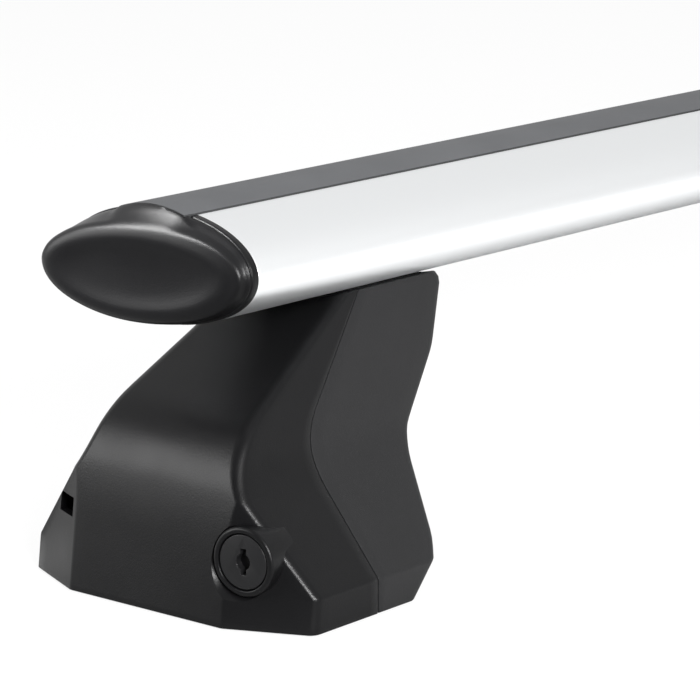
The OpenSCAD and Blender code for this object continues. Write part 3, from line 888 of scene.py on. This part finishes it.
@dataclass
class CapForm:
    """An end cap: rings from the bar's oval to a swept face with a fat rolled rim and a dish.

    It is in millimetres, from the middle of the bar's cut end, with the cap towards -X. A ring is its share
    of the way to the face, its depth, and its insets at the top, at the bottom and at the sides.

    Attributes:
        chord: width of the bar.
        height: height of the bar.
        depth: distance of the face's crest in the middle.
        sweep_deg: angle of the face's sweep.
        band: width of the plain band next to the bar.
        side_stop: how far short of the crest the cap's side ends.
        shallow_roll: depth of the rim's rings that keep it where the cap is short.
        strip_w: width of the rubber strip.
        strip_seat: height of its seat.
        strip_edge: its thickness at the edge.
        strip_crown: height of its crown above the edge.
        strip_overrun: how far it runs over the cap.
        seat_gap: gap round the strip's end.
        hump_from: how far behind the crest the hump starts to rise.
        hump_past: how far past the strip's end it peaks.
        hump_wider: how much wider than the strip it is on each side.
        hump_taper: share of its width that it loses towards the face.
        hump_power: power that its slope follows.
        hump_start: length over which it comes out of the band.
        hump_above: share of the cap's half height above which it can lie.
        hump_inside: how far inside its edge its sides start to fade.
        hump_blend: width over which they fade.
        around: number of points round a ring.
        sides: rings of the band and side.
        rim_at: rings of the rim and dish.
    """

    chord: float = 75.0
    height: float = 35.4
    depth: float = 13.3
    sweep_deg: float = 10.0
    band: float = 2.8
    side_stop: float = 1.9
    shallow_roll: float = 1.3
    strip_w: float = 26.4
    strip_seat: float = 15.7
    strip_edge: float = 1.35
    strip_crown: float = 2.2
    strip_overrun: float = 5.6
    seat_gap: float = 0.1
    hump_from: float = 0.8
    hump_past: float = 0.5
    hump_wider: float = 0.2
    hump_taper: float = 0.4
    hump_power: float = 2.0
    hump_start: float = 1.8
    hump_above: float = 0.5
    hump_inside: float = 1.0
    hump_blend: float = 4.5
    around: int = 128
    sides: tuple = ((0, 0, 0, 0, 0), (0, 1.4, 0, 0, 0), (0, 2.45, 0, 0, 0), (0, 2.62, 0.14, 0.14, 0.14),
                    (0, 2.7, 0.45, 0.45, 0.45), (0, 2.95, 0.5, 0.42, 0.45), (0.08, 0, 0.55, 0.3, 0.35),
                    (0.22, 0, 0.9, 0.4, 0.6), (0.34, 0, 1.35, 0.5, 0.85), (0.45, 0, 1.8, 0.6, 1.1),
                    (0.54, 0, 2.15, 0.7, 1.35), (0.62, 0, 2.45, 0.8, 1.55))
    rim_at: tuple = ((1, 4.1, 3.1, 1.0, 1.9), (1, 2.6, 3.5, 1.25, 2.25), (1, 1.45, 4.3, 1.85, 3.0),
                     (1, 0.65, 5.35, 2.8, 4.1), (1, 0.17, 6.7, 4.0, 5.6), (1, 0.0, 8.1, 5.3, 7.4),
                     (1, 0.12, 9.3, 6.3, 9.4), (1, 0.42, 10.5, 7.6, 11.8), (1, 0.75, 11.7, 9.2, 15.0),
                     (1, 0.98, 13.2, 11.2, 20.0), (1, 1.12, 15.2, 13.9, 27.0), (1, 1.2, 17.2, 16.6, 34.0))

    def face_x(self, y: float) -> float:
        """Distance of the face's crest from the bar's cut end at y; it is longer towards +Y."""
        return -self.depth - math.tan(math.radians(self.sweep_deg)) * y

    def crown(self, y: float) -> float:
        """Height of the strip's crown at y, from the bar's middle."""
        r = (self.strip_w ** 2 / 4 + self.strip_crown ** 2) / (2 * self.strip_crown)
        return self.strip_seat + self.strip_edge + self.strip_crown - r + math.sqrt(max(r * r - y * y, 0.0))

    def ring_x(self, share: float, back: float, face: float) -> float:
        """Works out how far along the cap a point of a ring lies.

        Args:
            share: the ring's share of the way to the face.
            back: its depth: from the bar on the band, or behind the crest on the rim.
            face: distance of the crest there.

        Returns:
            The point's X.
        """
        if share == 0:
            return -back
        if share < 1:
            return -self.band + share * (face + self.side_stop + self.band)
        if back > self.shallow_roll:
            back *= min((-face - self.band) / (self.depth - self.band), 1.0)
        return face + back

    def ring_point(self, ring: tuple, turn: float) -> Vector:
        """Places one point of a ring, with the hump that leads up to the strip's end.

        Args:
            ring: share of the way to the face, depth, and insets at the top, bottom and sides.
            turn: angle round the bar's axis.

        Returns:
            The point, in millimetres from the middle of the bar's cut end.
        """
        share, back, top, low, side = ring
        y = (self.chord / 2 - side) * math.cos(turn)
        face = self.face_x(y)
        x = self.ring_x(share, back, face)
        skin = math.sin(turn) * (self.height / 2 - (top if math.sin(turn) > 0 else low))
        if math.sin(turn) <= self.hump_above:
            return Vector((x, y, skin))
        start, peak = face + self.hump_from, -self.strip_overrun - self.hump_past
        along = min(max((x - start) / (peak - start), 0.0), 1.0)
        half = (self.strip_w / 2 + self.hump_wider) * (1 - self.hump_taper * (1 - along))
        lift = ease((-self.band - x) / self.hump_start) * along ** self.hump_power
        lift *= 1 - ease((abs(y) - half + self.hump_inside) / self.hump_blend)
        return Vector((x, y, skin + max(self.crown(y) - skin, 0.0) * lift))

    def build(self) -> bmesh.types.BMesh:
        """Lays a grid round the rings and closes it.

        Returns:
            The closed form, in metres.
        """
        rings = self.sides + self.rim_at
        work = bmesh.new()
        made = bmesh.ops.create_grid(work, x_segments=self.around, y_segments=len(rings) - 1, size=1.0)
        spots = sorted(made["verts"], key=lambda v: (round(v.co.y, 6), round(v.co.x, 6)))
        row = self.around + 1
        for i, ring in enumerate(rings):
            for j in range(row):
                turn = math.tau * (j % self.around) / self.around
                spots[i * row + j].co = self.ring_point(ring, turn) * MM
        bmesh.ops.remove_doubles(work, verts=work.verts, dist=GRID_WELD_MM * MM)
        bmesh.ops.holes_fill(work, edges=[e for e in work.edges if e.is_boundary], sides=0)
        bmesh.ops.recalc_face_normals(work, faces=work.faces)
        return work

    def seat(self) -> bpy.types.Object:
        """Makes the block that opens the seat of the strip's end.

        Returns:
            The block, from the middle of the bar's cut end.
        """
        half, floor, past, tall = self.strip_w / 2 + self.seat_gap, self.strip_seat - self.seat_gap, 1.0, 20.0
        low = Vector((-self.strip_overrun - self.seat_gap, -half, floor))
        return block(low, Vector((past, half, floor + tall)), "seat_cutter")


@dataclass
class Crossbar:
    """The bar itself: extrusion, rubber strip and the two end caps.

    Attributes:
        body: the body that they ride on.
        lip_mm: bevel of the extrusion's and the strip's edges.
        half_length: half the bar's length, in millimetres.
        axis_z: height of its middle.
        plug_root: distance from the bar's cut end where the plugs leave the cap.
        cap_sharp_deg: the angle from which a cap's edges are shaded sharp.
        form: the caps' form.
    """

    body: str = "bar"
    lip_mm: float = 0.3
    half_length: float = 575.0
    axis_z: float = 106.3
    plug_root: float = 0.02
    cap_sharp_deg: float = 50.0
    form: CapForm = field(default_factory=CapForm)

    def plugs(self, end: End) -> bmesh.types.BMesh:
        """Takes the plugs that enter the bar's chambers from a copy of the CAD cap.

        Args:
            end: the end of the bar.

        Returns:
            The plugs, in the frame's axes.
        """
        taken = bmesh.new()
        taken.from_mesh(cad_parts[f"{end.value}_end_cap"].data)
        bmesh.ops.remove_doubles(taken, verts=taken.verts, dist=WELD_MM * MM)
        bmesh.ops.bisect_plane(taken, geom=taken.verts[:] + taken.edges[:] + taken.faces[:],
                               plane_co=(-end.sign * (self.half_length - self.plug_root) * MM, 0, 0),
                               plane_no=(-end.sign, 0, 0), clear_outer=True)
        return taken

    def cap(self, end: End) -> bpy.types.Object:
        """Builds one end cap with its seat for the strip's end and its plugs.

        Args:
            end: the end of the bar.

        Returns:
            The finished cap.
        """
        holder = keep(self.form.build(), f"{end.value}_cap_skin")
        cut_away(holder, [self.form.seat()])
        work = bmesh.new()
        work.from_mesh(holder.data)
        place = Vector((-self.half_length, 0.0, self.axis_z)) * MM
        bmesh.ops.transform(work, matrix=Matrix.Translation(place), verts=work.verts)
        if end is End.RIGHT:
            bmesh.ops.scale(work, vec=(-1, 1, 1), verts=work.verts)
            bmesh.ops.reverse_faces(work, faces=work.faces)
        join(work, self.plugs(end))
        work.to_mesh(holder.data)
        work.free()
        hand_over(holder, f"{end.value}_end_cap", self.body, CAP_ABS, self.cap_sharp_deg)
        return holder

    def build(self) -> list[bpy.types.Object]:
        """Builds the dressed extrusion, strip and caps.

        Returns:
            The new pieces.
        """
        made = [
            SkinnedNode("bar", self.body, ANODISED, edge_mm=self.lip_mm).build(),
            SkinnedNode("rubber_strip", self.body, STRIP_RUBBER, edge_mm=self.lip_mm).build(),
        ]
        return made + [self.cap(end) for end in End]


@dataclass
class Foot:
    """One foot: shells, lock, bracket, pads and hardware, in millimetres.

    Attributes:
        end: the end of the bar that it stands at.
        form: its outer form.
        lock: its lock's place and sizes.
        reach_x: distance of its face's foot from the bar's middle.
        cover_wall: wall of the front cover.
        body_wall: wall of the rear body.
        lip_wall: wall of the lip that enters the cover.
        lip_from: height where the lip starts.
        lip_play: play between the lip and the cover's wall.
        cover_edge: bevel of the cover's edges.
        body_edge: bevel of the rear body's edges.
        lock_edge: bevel of the lock's edges.
        bevel_from_deg: the angle from which a shell's edges are bevelled.
        shell_sharp_deg: the angle from which they are shaded sharp.
        lock_wall: how much thicker the cover is behind the lock.
        window: the cover's window: its nearer side, width, lower edge and height.
        post_at: place of a post that takes a body screw.
        post_lean_deg: angle that it leans by.
        post_r: its radius.
        post_steps: number of segments round it.
        post_span: distances along its axis where it starts and ends.
        hardware: finishes of the nodes that keep their own meshes.
    """

    end: End
    form: FootForm = field(default_factory=FootForm)
    lock: LockFit = field(default_factory=LockFit)
    reach_x: float = 586.8
    cover_wall: float = 2.8
    body_wall: float = 3.0
    lip_wall: float = 1.3
    lip_from: float = 7.0
    lip_play: float = 0.3
    cover_edge: float = 0.3
    body_edge: float = 0.5
    lock_edge: float = 0.35
    bevel_from_deg: float = 60.0
    shell_sharp_deg: float = 32.0
    lock_wall: float = 3.2
    window: tuple[float, float, float, float] = (33.6, 9.4, 23.0, 6.0)
    post_at: tuple[float, float, float] = (73.7, 8.0, 27.1)
    post_lean_deg: float = 31.81
    post_r: float = 5.0
    post_steps: int = 48
    post_span: tuple[float, float] = (0.2, 6.2)
    hardware: dict[str, Finish] = field(default_factory=lambda: {
        "tower_bracket": POWDER_COAT, "base_pad": PAD_RUBBER, "saddle_pad": PAD_RUBBER,
        "slot_plate": ZINC, "clamp_bolt": ZINC, "clamp_washer": ZINC, "body_screws": ZINC,
        "lock_cam": ZINC, "cam_screw": ZINC, "lock_clip": ZINC,
    })

    def place(self) -> Matrix:
        """The foot's own axes in the frame's."""
        turn = Matrix.Rotation(0.0 if self.end is End.LEFT else math.pi, 4, "Z")
        return turn @ Matrix.Translation(Vector((-self.reach_x, 0.0, 0.0)) * MM)

    def window_cutter(self) -> bpy.types.Object:
        """Makes the block that opens the window low at the far side of the cover.

        Returns:
            The block, in the foot's own axes.
        """
        y, width, z, height = self.window
        reach = 30.0
        return block(Vector((-reach, y, z)), Vector((reach, y + width, z + height)), "window_cutter")

    def finish_shell(self, holder: bpy.types.Object, extras: list[bmesh.types.BMesh], node: str,
                     body: str, finish: Finish) -> bpy.types.Object:
        """Joins the loose solids to a shell, places it on the foot and hands it to its body.

        Args:
            holder: the shell, in the foot's own axes.
            extras: solids moulded in one with it.
            node: the CAD node that it stands for.
            body: the body that it rides on.
            finish: its finish.

        Returns:
            The finished piece.
        """
        work = bmesh.new()
        work.from_mesh(holder.data)
        for extra in extras:
            join(work, extra)
        bmesh.ops.transform(work, matrix=self.place(), verts=work.verts)
        work.to_mesh(holder.data)
        work.free()
        side = self.end.value
        hand_over(holder, f"{side}_{node}", f"{side}_{body}", finish, self.shell_sharp_deg)
        return holder

    def cover(self) -> bpy.types.Object:
        """Builds the front cover: shell with rounded ridges, lock boss, recess and window.

        Returns:
            The finished cover.
        """
        middle = self.lock.axes() @ (Vector((self.lock.boss_face, 0.0, 0.0)) * MM)
        work = self.form.shell(Part.COVER, self.cover_wall, self.form.seam_gap / 2, self.form.hem,
                               thick_at=(middle, self.lock_wall))
        soften(work, self.cover_edge, self.bevel_from_deg)
        holder = keep(work, f"{self.end.value}_cover_shell")
        cut_away(holder, [keep(self.lock.recess(), "recess_cutter"), self.window_cutter()])
        return self.finish_shell(holder, [self.lock.boss()], "front_cover", "cover", COVER_ABS)

    def lip(self, side: int) -> bmesh.types.BMesh:
        """Makes the lip along one side's seam, which enters the cover.

        Args:
            side: 1 for the side towards -Y and -1 for the other.

        Returns:
            The lip, in the foot's own axes.
        """
        band = self.form.shell(Part.LIP, self.lip_wall, 0.0, self.lip_from,
                               shrink=self.cover_wall + self.lip_play)
        bmesh.ops.scale(band, vec=(1, side, 1), verts=band.verts)
        bmesh.ops.recalc_face_normals(band, faces=band.faces)
        return band

    def post(self, side: int) -> bmesh.types.BMesh:
        """Makes the post that takes one body screw.

        Args:
            side: 1 for the side towards +Y and -1 for the other.

        Returns:
            The post, in the foot's own axes.
        """
        x, y, z = self.post_at
        start, end = self.post_span
        turn = Matrix.Rotation(math.radians(90 + self.post_lean_deg), 4, "Y")
        turn = Matrix.Translation(Vector((x, side * y, z)) * MM) @ turn
        work = bmesh.new()
        bmesh.ops.create_cone(work, segments=self.post_steps, cap_ends=True, radius1=self.post_r * MM,
                              radius2=self.post_r * MM, depth=(end - start) * MM,
                              matrix=turn @ Matrix.Translation((0, 0, (start + end) / 2 * MM)))
        return work

    def rear_body(self) -> bpy.types.Object:
        """Builds the rear body: shell with a rounded back, a lip at each side and two posts.

        Returns:
            The finished rear body.
        """
        work = self.form.shell(Part.BODY, self.body_wall, self.form.seam_gap / 2, self.form.hem)
        soften(work, self.body_edge, self.bevel_from_deg)
        holder = keep(work, f"{self.end.value}_body_shell")
        extras = [make(side) for side in (1, -1) for make in (self.lip, self.post)]
        return self.finish_shell(holder, extras, "rear_body", "foot", BODY_NYLON)

    def build(self) -> list[bpy.types.Object]:
        """Builds the dressed shells and lock and dresses the hardware.

        Returns:
            The new pieces.
        """
        side = self.end.value
        made = [
            self.cover(),
            self.rear_body(),
            SkinnedNode(f"{side}_lock_plug", f"{side}_lock", LOCK_SATIN, edge_mm=self.lock_edge).build(),
        ]
        for name, finish in self.hardware.items():
            dress_node(f"{side}_{name}", finish)
        return made


@dataclass(frozen=True)
class Lamp:
    """A soft rectangular lamp, in millimetres and watts.

    Attributes:
        name: the lamp's name.
        place: where it stands.
        size: its width and height.
        watts: its power.
        mirrored: whether glossy surfaces show it.
    """

    name: str
    place: tuple[float, float, float]
    size: tuple[float, float]
    watts: float
    mirrored: bool = True

    def build(self, aim_mm: tuple[float, float, float]) -> bpy.types.Object:
        """Adds the lamp to the scene and turns it to a point.

        Args:
            aim_mm: the point that it faces.

        Returns:
            The lamp.
        """
        data = bpy.data.lights.new(self.name, "AREA")
        data.shape = "RECTANGLE"
        data.size, data.size_y = self.size[0] * MM, self.size[1] * MM
        data.energy = self.watts
        holder = bpy.data.objects.new(self.name, data)
        bpy.context.scene.collection.objects.link(holder)
        holder.visible_glossy = self.mirrored
        place, aim = Vector(self.place) * MM, Vector(aim_mm) * MM
        holder.location = place
        holder.rotation_euler = (aim - place).to_track_quat("-Z", "Y").to_euler()
        return holder


@dataclass
class Studio:
    """Pale floor, soft lights and the camera that took the view.

    The floor's and the room's own places are in metres.

    Attributes:
        focal_px: the camera's focal length, in pixels of the photograph.
        frame_px: the photograph's width.
        heading_deg: the camera's heading, counter-clockwise from +X.
        dip_deg: how far it looks down.
        roll_deg: its roll.
        camera_mm: where it stands.
        aim_mm: the point by the visible foot that the lamps face.
        lamps: the lamps.
        rim_lamp: which of them lights the end caps alone.
        floor_half: half the floor's side.
        floor_white: share of the floor that glows white to the camera.
        floor_gloss: share of it that does so in a mirror image.
        paper: brightness of the floor's paper.
        ends_fade: distances from the bar's middle over which the floor dims towards the visible end.
        floor_ends: share of its brightness that is left there.
        band_y: Y of the middle of the band of painted shadow on the floor behind the bar, which all but the
            camera see.
        band_fade: distances from that middle over which the band fades.
        band_end: X over which the band ends beyond the bar's cut end.
        band_push: how far it is pushed outwards there.
        under_bar: share of the brightness that is left in the band of painted shadow.
        fill: strength of the light from all round.
        wall_gain: strength of the room that shiny surfaces mirror.
        wall_tones: its tones, by the height of the direction.
        dark_way: direction of its dark side.
        dark_fade: how closely a direction agrees with that where the dark side starts and is full.
        dark_side: share of the brightness that is left there.
    """

    focal_px: float = 3330.1
    frame_px: float = 700.0
    heading_deg: float = 39.81
    dip_deg: float = 12.73
    roll_deg: float = -0.10
    camera_mm: tuple[float, float, float] = (-1294.96, -672.4, 301.77)
    aim_mm: tuple[float, float, float] = (-500.0, 0.0, 80.0)
    lamps: tuple[Lamp, ...] = (
        Lamp("top_softbox", (-300, 0, 2600), (4000, 3500), 45, mirrored=False),
        Lamp("rim_softbox", (-1340, 430, 1010), (600, 300), 55),
        Lamp("end_softbox", (-1420, 740, 440), (800, 560), 12),
        Lamp("ridge_softbox", (-1100, -1000, 500), (400, 300), 30),
    )
    rim_lamp: int = 1
    floor_half: float = 6.0
    floor_white: float = 0.85
    floor_gloss: float = 0.12
    paper: float = 0.85
    ends_fade: tuple[float, float] = (0.4, 0.75)
    floor_ends: float = 0.12
    band_y: float = 0.18
    band_fade: tuple[float, float] = (0.1, 0.28)
    band_end: tuple[float, float] = (-0.62, -0.55)
    band_push: float = 0.5
    under_bar: float = 0.15
    fill: float = 0.5
    wall_gain: float = 1.1
    wall_tones: tuple = ((-0.1, 1.0), (0.04, 0.97), (0.16, 0.7), (0.4, 0.78), (0.95, 0.74))
    dark_way: tuple[float, float, float] = (-0.9, -0.43, 0.0)
    dark_fade: tuple[float, float] = (0.1, 0.75)
    dark_side: float = 0.05

    def camera(self) -> None:
        """Places the camera at the photograph's viewing angle."""
        data = bpy.data.cameras.new("view_camera")
        data.sensor_width = 36.0
        data.lens = data.sensor_width * self.focal_px / self.frame_px
        data.clip_start, data.clip_end = 0.05, 20.0
        holder = bpy.data.objects.new("view_camera", data)
        bpy.context.scene.collection.objects.link(holder)
        turn = Euler((math.radians(90 - self.dip_deg), 0, math.radians(self.heading_deg - 90))).to_matrix()
        holder.matrix_world = (Matrix.Translation(Vector(self.camera_mm) * MM)
                               @ (turn @ Matrix.Rotation(math.radians(self.roll_deg), 3, "Z")).to_4x4())
        bpy.context.scene.camera = holder

    def floor_dimming(self, tree: bpy.types.NodeTree) -> bpy.types.NodeSocket:
        """Dims the floor to all but the camera, at the visible end and in a band behind the bar that is a
        painted shadow of the bar.

        Args:
            tree: the floor's node tree.

        Returns:
            The share of its brightness that is left at each place.
        """
        place = add_node(tree, "ShaderNodeTexCoord").outputs["Object"]
        spot = add_node(tree, "ShaderNodeSeparateXYZ", None, {0: place})
        beside = add_node(tree, "ShaderNodeMath", {"operation": "MAXIMUM", 1: 0.0}, {0: spot.outputs["Y"]})
        flip = add_node(tree, "ShaderNodeMath", {"operation": "MULTIPLY", 1: -1.0}, {0: spot.outputs["X"]})
        ahead = add_node(tree, "ShaderNodeMath", {"operation": "MULTIPLY_ADD", 1: -1.0},
                         {0: beside.outputs[0], 2: flip.outputs[0]})
        pool = add_node(tree, "ShaderNodeMapRange", {
            "interpolation_type": "SMOOTHSTEP", "From Min": self.ends_fade[0], "From Max": self.ends_fade[1],
            "To Min": 1.0, "To Max": self.floor_ends,
        }, {"Value": ahead.outputs[0]})
        # Painted shadow: a band of floor behind the bar is dimmed, as if the bar shaded it
        behind = add_node(tree, "ShaderNodeMath", {"operation": "SUBTRACT", 1: self.band_y},
                          {0: spot.outputs["Y"]})
        wide = add_node(tree, "ShaderNodeMath", {"operation": "ABSOLUTE"}, {0: behind.outputs[0]})
        outside = add_node(tree, "ShaderNodeMapRange", {
            "From Min": self.band_end[0], "From Max": self.band_end[1],
            "To Min": self.band_push, "To Max": 0.0,
        }, {"Value": spot.outputs["X"]})
        across = add_node(tree, "ShaderNodeMath", {"operation": "ADD"},
                          {0: wide.outputs[0], 1: outside.outputs[0]})
        under = add_node(tree, "ShaderNodeMapRange", {
            "interpolation_type": "SMOOTHSTEP", "From Min": self.band_fade[0], "From Max": self.band_fade[1],
            "To Min": self.under_bar,
        }, {"Value": across.outputs[0]})
        return add_node(tree, "ShaderNodeMath", {"operation": "MULTIPLY"},
                        {0: pool.outputs[0], 1: under.outputs[0]}).outputs[0]

    def floor(self) -> None:
        """Lays a pale floor that reads white to the camera and keeps the object's soft shadow."""
        work = bmesh.new()
        bmesh.ops.create_grid(work, x_segments=1, y_segments=1, size=self.floor_half)
        holder = keep(work, "floor")
        made = bpy.data.materials.new("pale_paper_floor")
        made.use_nodes = True
        tree = made.node_tree
        tree.nodes.clear()
        ray = add_node(tree, "ShaderNodeLightPath")
        level = add_node(tree, "ShaderNodeMapRange", {"To Max": 1.0},
                         {"Value": ray.outputs["Is Camera Ray"], "To Min": self.floor_dimming(tree)})
        tone = add_node(tree, "ShaderNodeMath", {"operation": "MULTIPLY", 1: self.paper},
                        {0: level.outputs[0]})
        paper = add_node(tree, "ShaderNodeBsdfDiffuse", None, {"Color": tone.outputs[0]})
        white = add_node(tree, "ShaderNodeEmission", {"Color": (1.0, 1.0, 1.0, 1.0)},
                         {"Strength": level.outputs[0]})
        shiny = add_node(tree, "ShaderNodeMath", {"operation": "MULTIPLY", 1: self.floor_gloss},
                         {0: ray.outputs["Is Glossy Ray"]})
        share = add_node(tree, "ShaderNodeMath", {"operation": "MULTIPLY_ADD", 1: self.floor_white},
                         {0: ray.outputs["Is Camera Ray"], 2: shiny.outputs[0]})
        both = add_node(tree, "ShaderNodeMixShader", None,
                        {0: share.outputs[0], 1: paper.outputs[0], 2: white.outputs[0]})
        add_node(tree, "ShaderNodeOutputMaterial", None, {"Surface": both.outputs[0]})
        holder.data.materials.append(made)

    def room_tones(self, tree: bpy.types.NodeTree) -> bpy.types.NodeSocket:
        """Makes the room that shiny surfaces mirror: tones by height, and a dark side.

        Args:
            tree: the world's node tree.

        Returns:
            The room's brightness in each direction.
        """
        way = add_node(tree, "ShaderNodeTexCoord").outputs["Generated"]
        facing = add_node(tree, "ShaderNodeVectorMath", {"operation": "DOT_PRODUCT", 1: self.dark_way},
                          {0: way})
        shade = add_node(tree, "ShaderNodeMapRange", {
            "interpolation_type": "SMOOTHSTEP", "From Min": self.dark_fade[0], "From Max": self.dark_fade[1],
            "To Min": 1.0, "To Max": self.dark_side,
        }, {"Value": facing.outputs["Value"]})
        height = add_node(tree, "ShaderNodeSeparateXYZ", None, {0: way})
        climb = add_node(tree, "ShaderNodeMapRange", {"From Min": -1.0, "To Max": 1.0},
                         {"Value": height.outputs["Z"]})
        bands = add_node(tree, "ShaderNodeValToRGB", None, {"Fac": climb.outputs[0]})
        stops = bands.color_ramp.elements
        stops.remove(stops[1])
        stops[0].position, stops[0].color = 0.0, (self.wall_tones[0][1],) * 3 + (1.0,)
        for z, tone in self.wall_tones:
            stops.new((z + 1) / 2).color = (tone, tone, tone, 1.0)
        walls = add_node(tree, "ShaderNodeMath", {"operation": "MULTIPLY", 1: self.wall_gain},
                         {0: bands.outputs["Color"]})
        return add_node(tree, "ShaderNodeMath", {"operation": "MULTIPLY"},
                        {0: walls.outputs[0], 1: shade.outputs[0]}).outputs[0]

    def world(self) -> None:
        """Surrounds the object with soft white, which shiny surfaces mirror as a room of tones."""
        made = bpy.data.worlds.new("studio_white")
        made.use_nodes = True
        tree = made.node_tree
        tree.nodes.clear()
        ray = add_node(tree, "ShaderNodeLightPath")
        shine = add_node(tree, "ShaderNodeMath", {"operation": "MAXIMUM"},
                         {0: ray.outputs["Is Glossy Ray"], 1: ray.outputs["Is Transmission Ray"]})
        level = add_node(tree, "ShaderNodeMapRange", {"To Min": self.fill},
                         {"Value": shine.outputs[0], "To Max": self.room_tones(tree)})
        level = add_node(tree, "ShaderNodeMapRange", {"To Max": 1.0},
                         {"Value": ray.outputs["Is Camera Ray"], "To Min": level.outputs[0]})
        white = add_node(tree, "ShaderNodeBackground", {"Color": (1.0, 1.0, 1.0, 1.0)},
                         {"Strength": level.outputs[0]})
        add_node(tree, "ShaderNodeOutputWorld", None, {"Surface": white.outputs[0]})
        bpy.context.scene.world = made

    def build(self) -> bpy.types.Object:
        """Sets the view transform, the world, the floor, the lamps and the camera.

        Returns:
            The rim lamp, which is to light the end caps alone.
        """
        bpy.context.scene.view_settings.view_transform = "Standard"
        self.world()
        self.floor()
        lamps = [lamp.build(self.aim_mm) for lamp in self.lamps]
        self.camera()
        return lamps[self.rim_lamp]


def light_caps(lamp: bpy.types.Object, pieces: list[bpy.types.Object]) -> None:
    """Links a lamp to the end caps, so that it lights nothing else.

    Args:
        lamp: the lamp.
        pieces: the bar's pieces, with the caps among them.
    """
    lit = bpy.data.collections.new("lit_by_rim_lamp")
    for piece in pieces:
        if "cap" in piece.name:
            lit.objects.link(piece)
    lamp.light_linking.receiver_collection = lit


def main() -> None:
    """Builds the studio, the bar and the feet in order and reports each piece."""
    logging.basicConfig(level=logging.INFO, format="%(name)s: %(message)s")
    rim_lamp = Studio().build()
    pieces = Crossbar().build()
    light_caps(rim_lamp, pieces)
    for end in End:
        pieces += Foot(end).build()
    for piece in pieces:
        LOG.info("%s: %d faces", piece.name, len(piece.data.polygons))


if __name__ == "__main__":
    main()
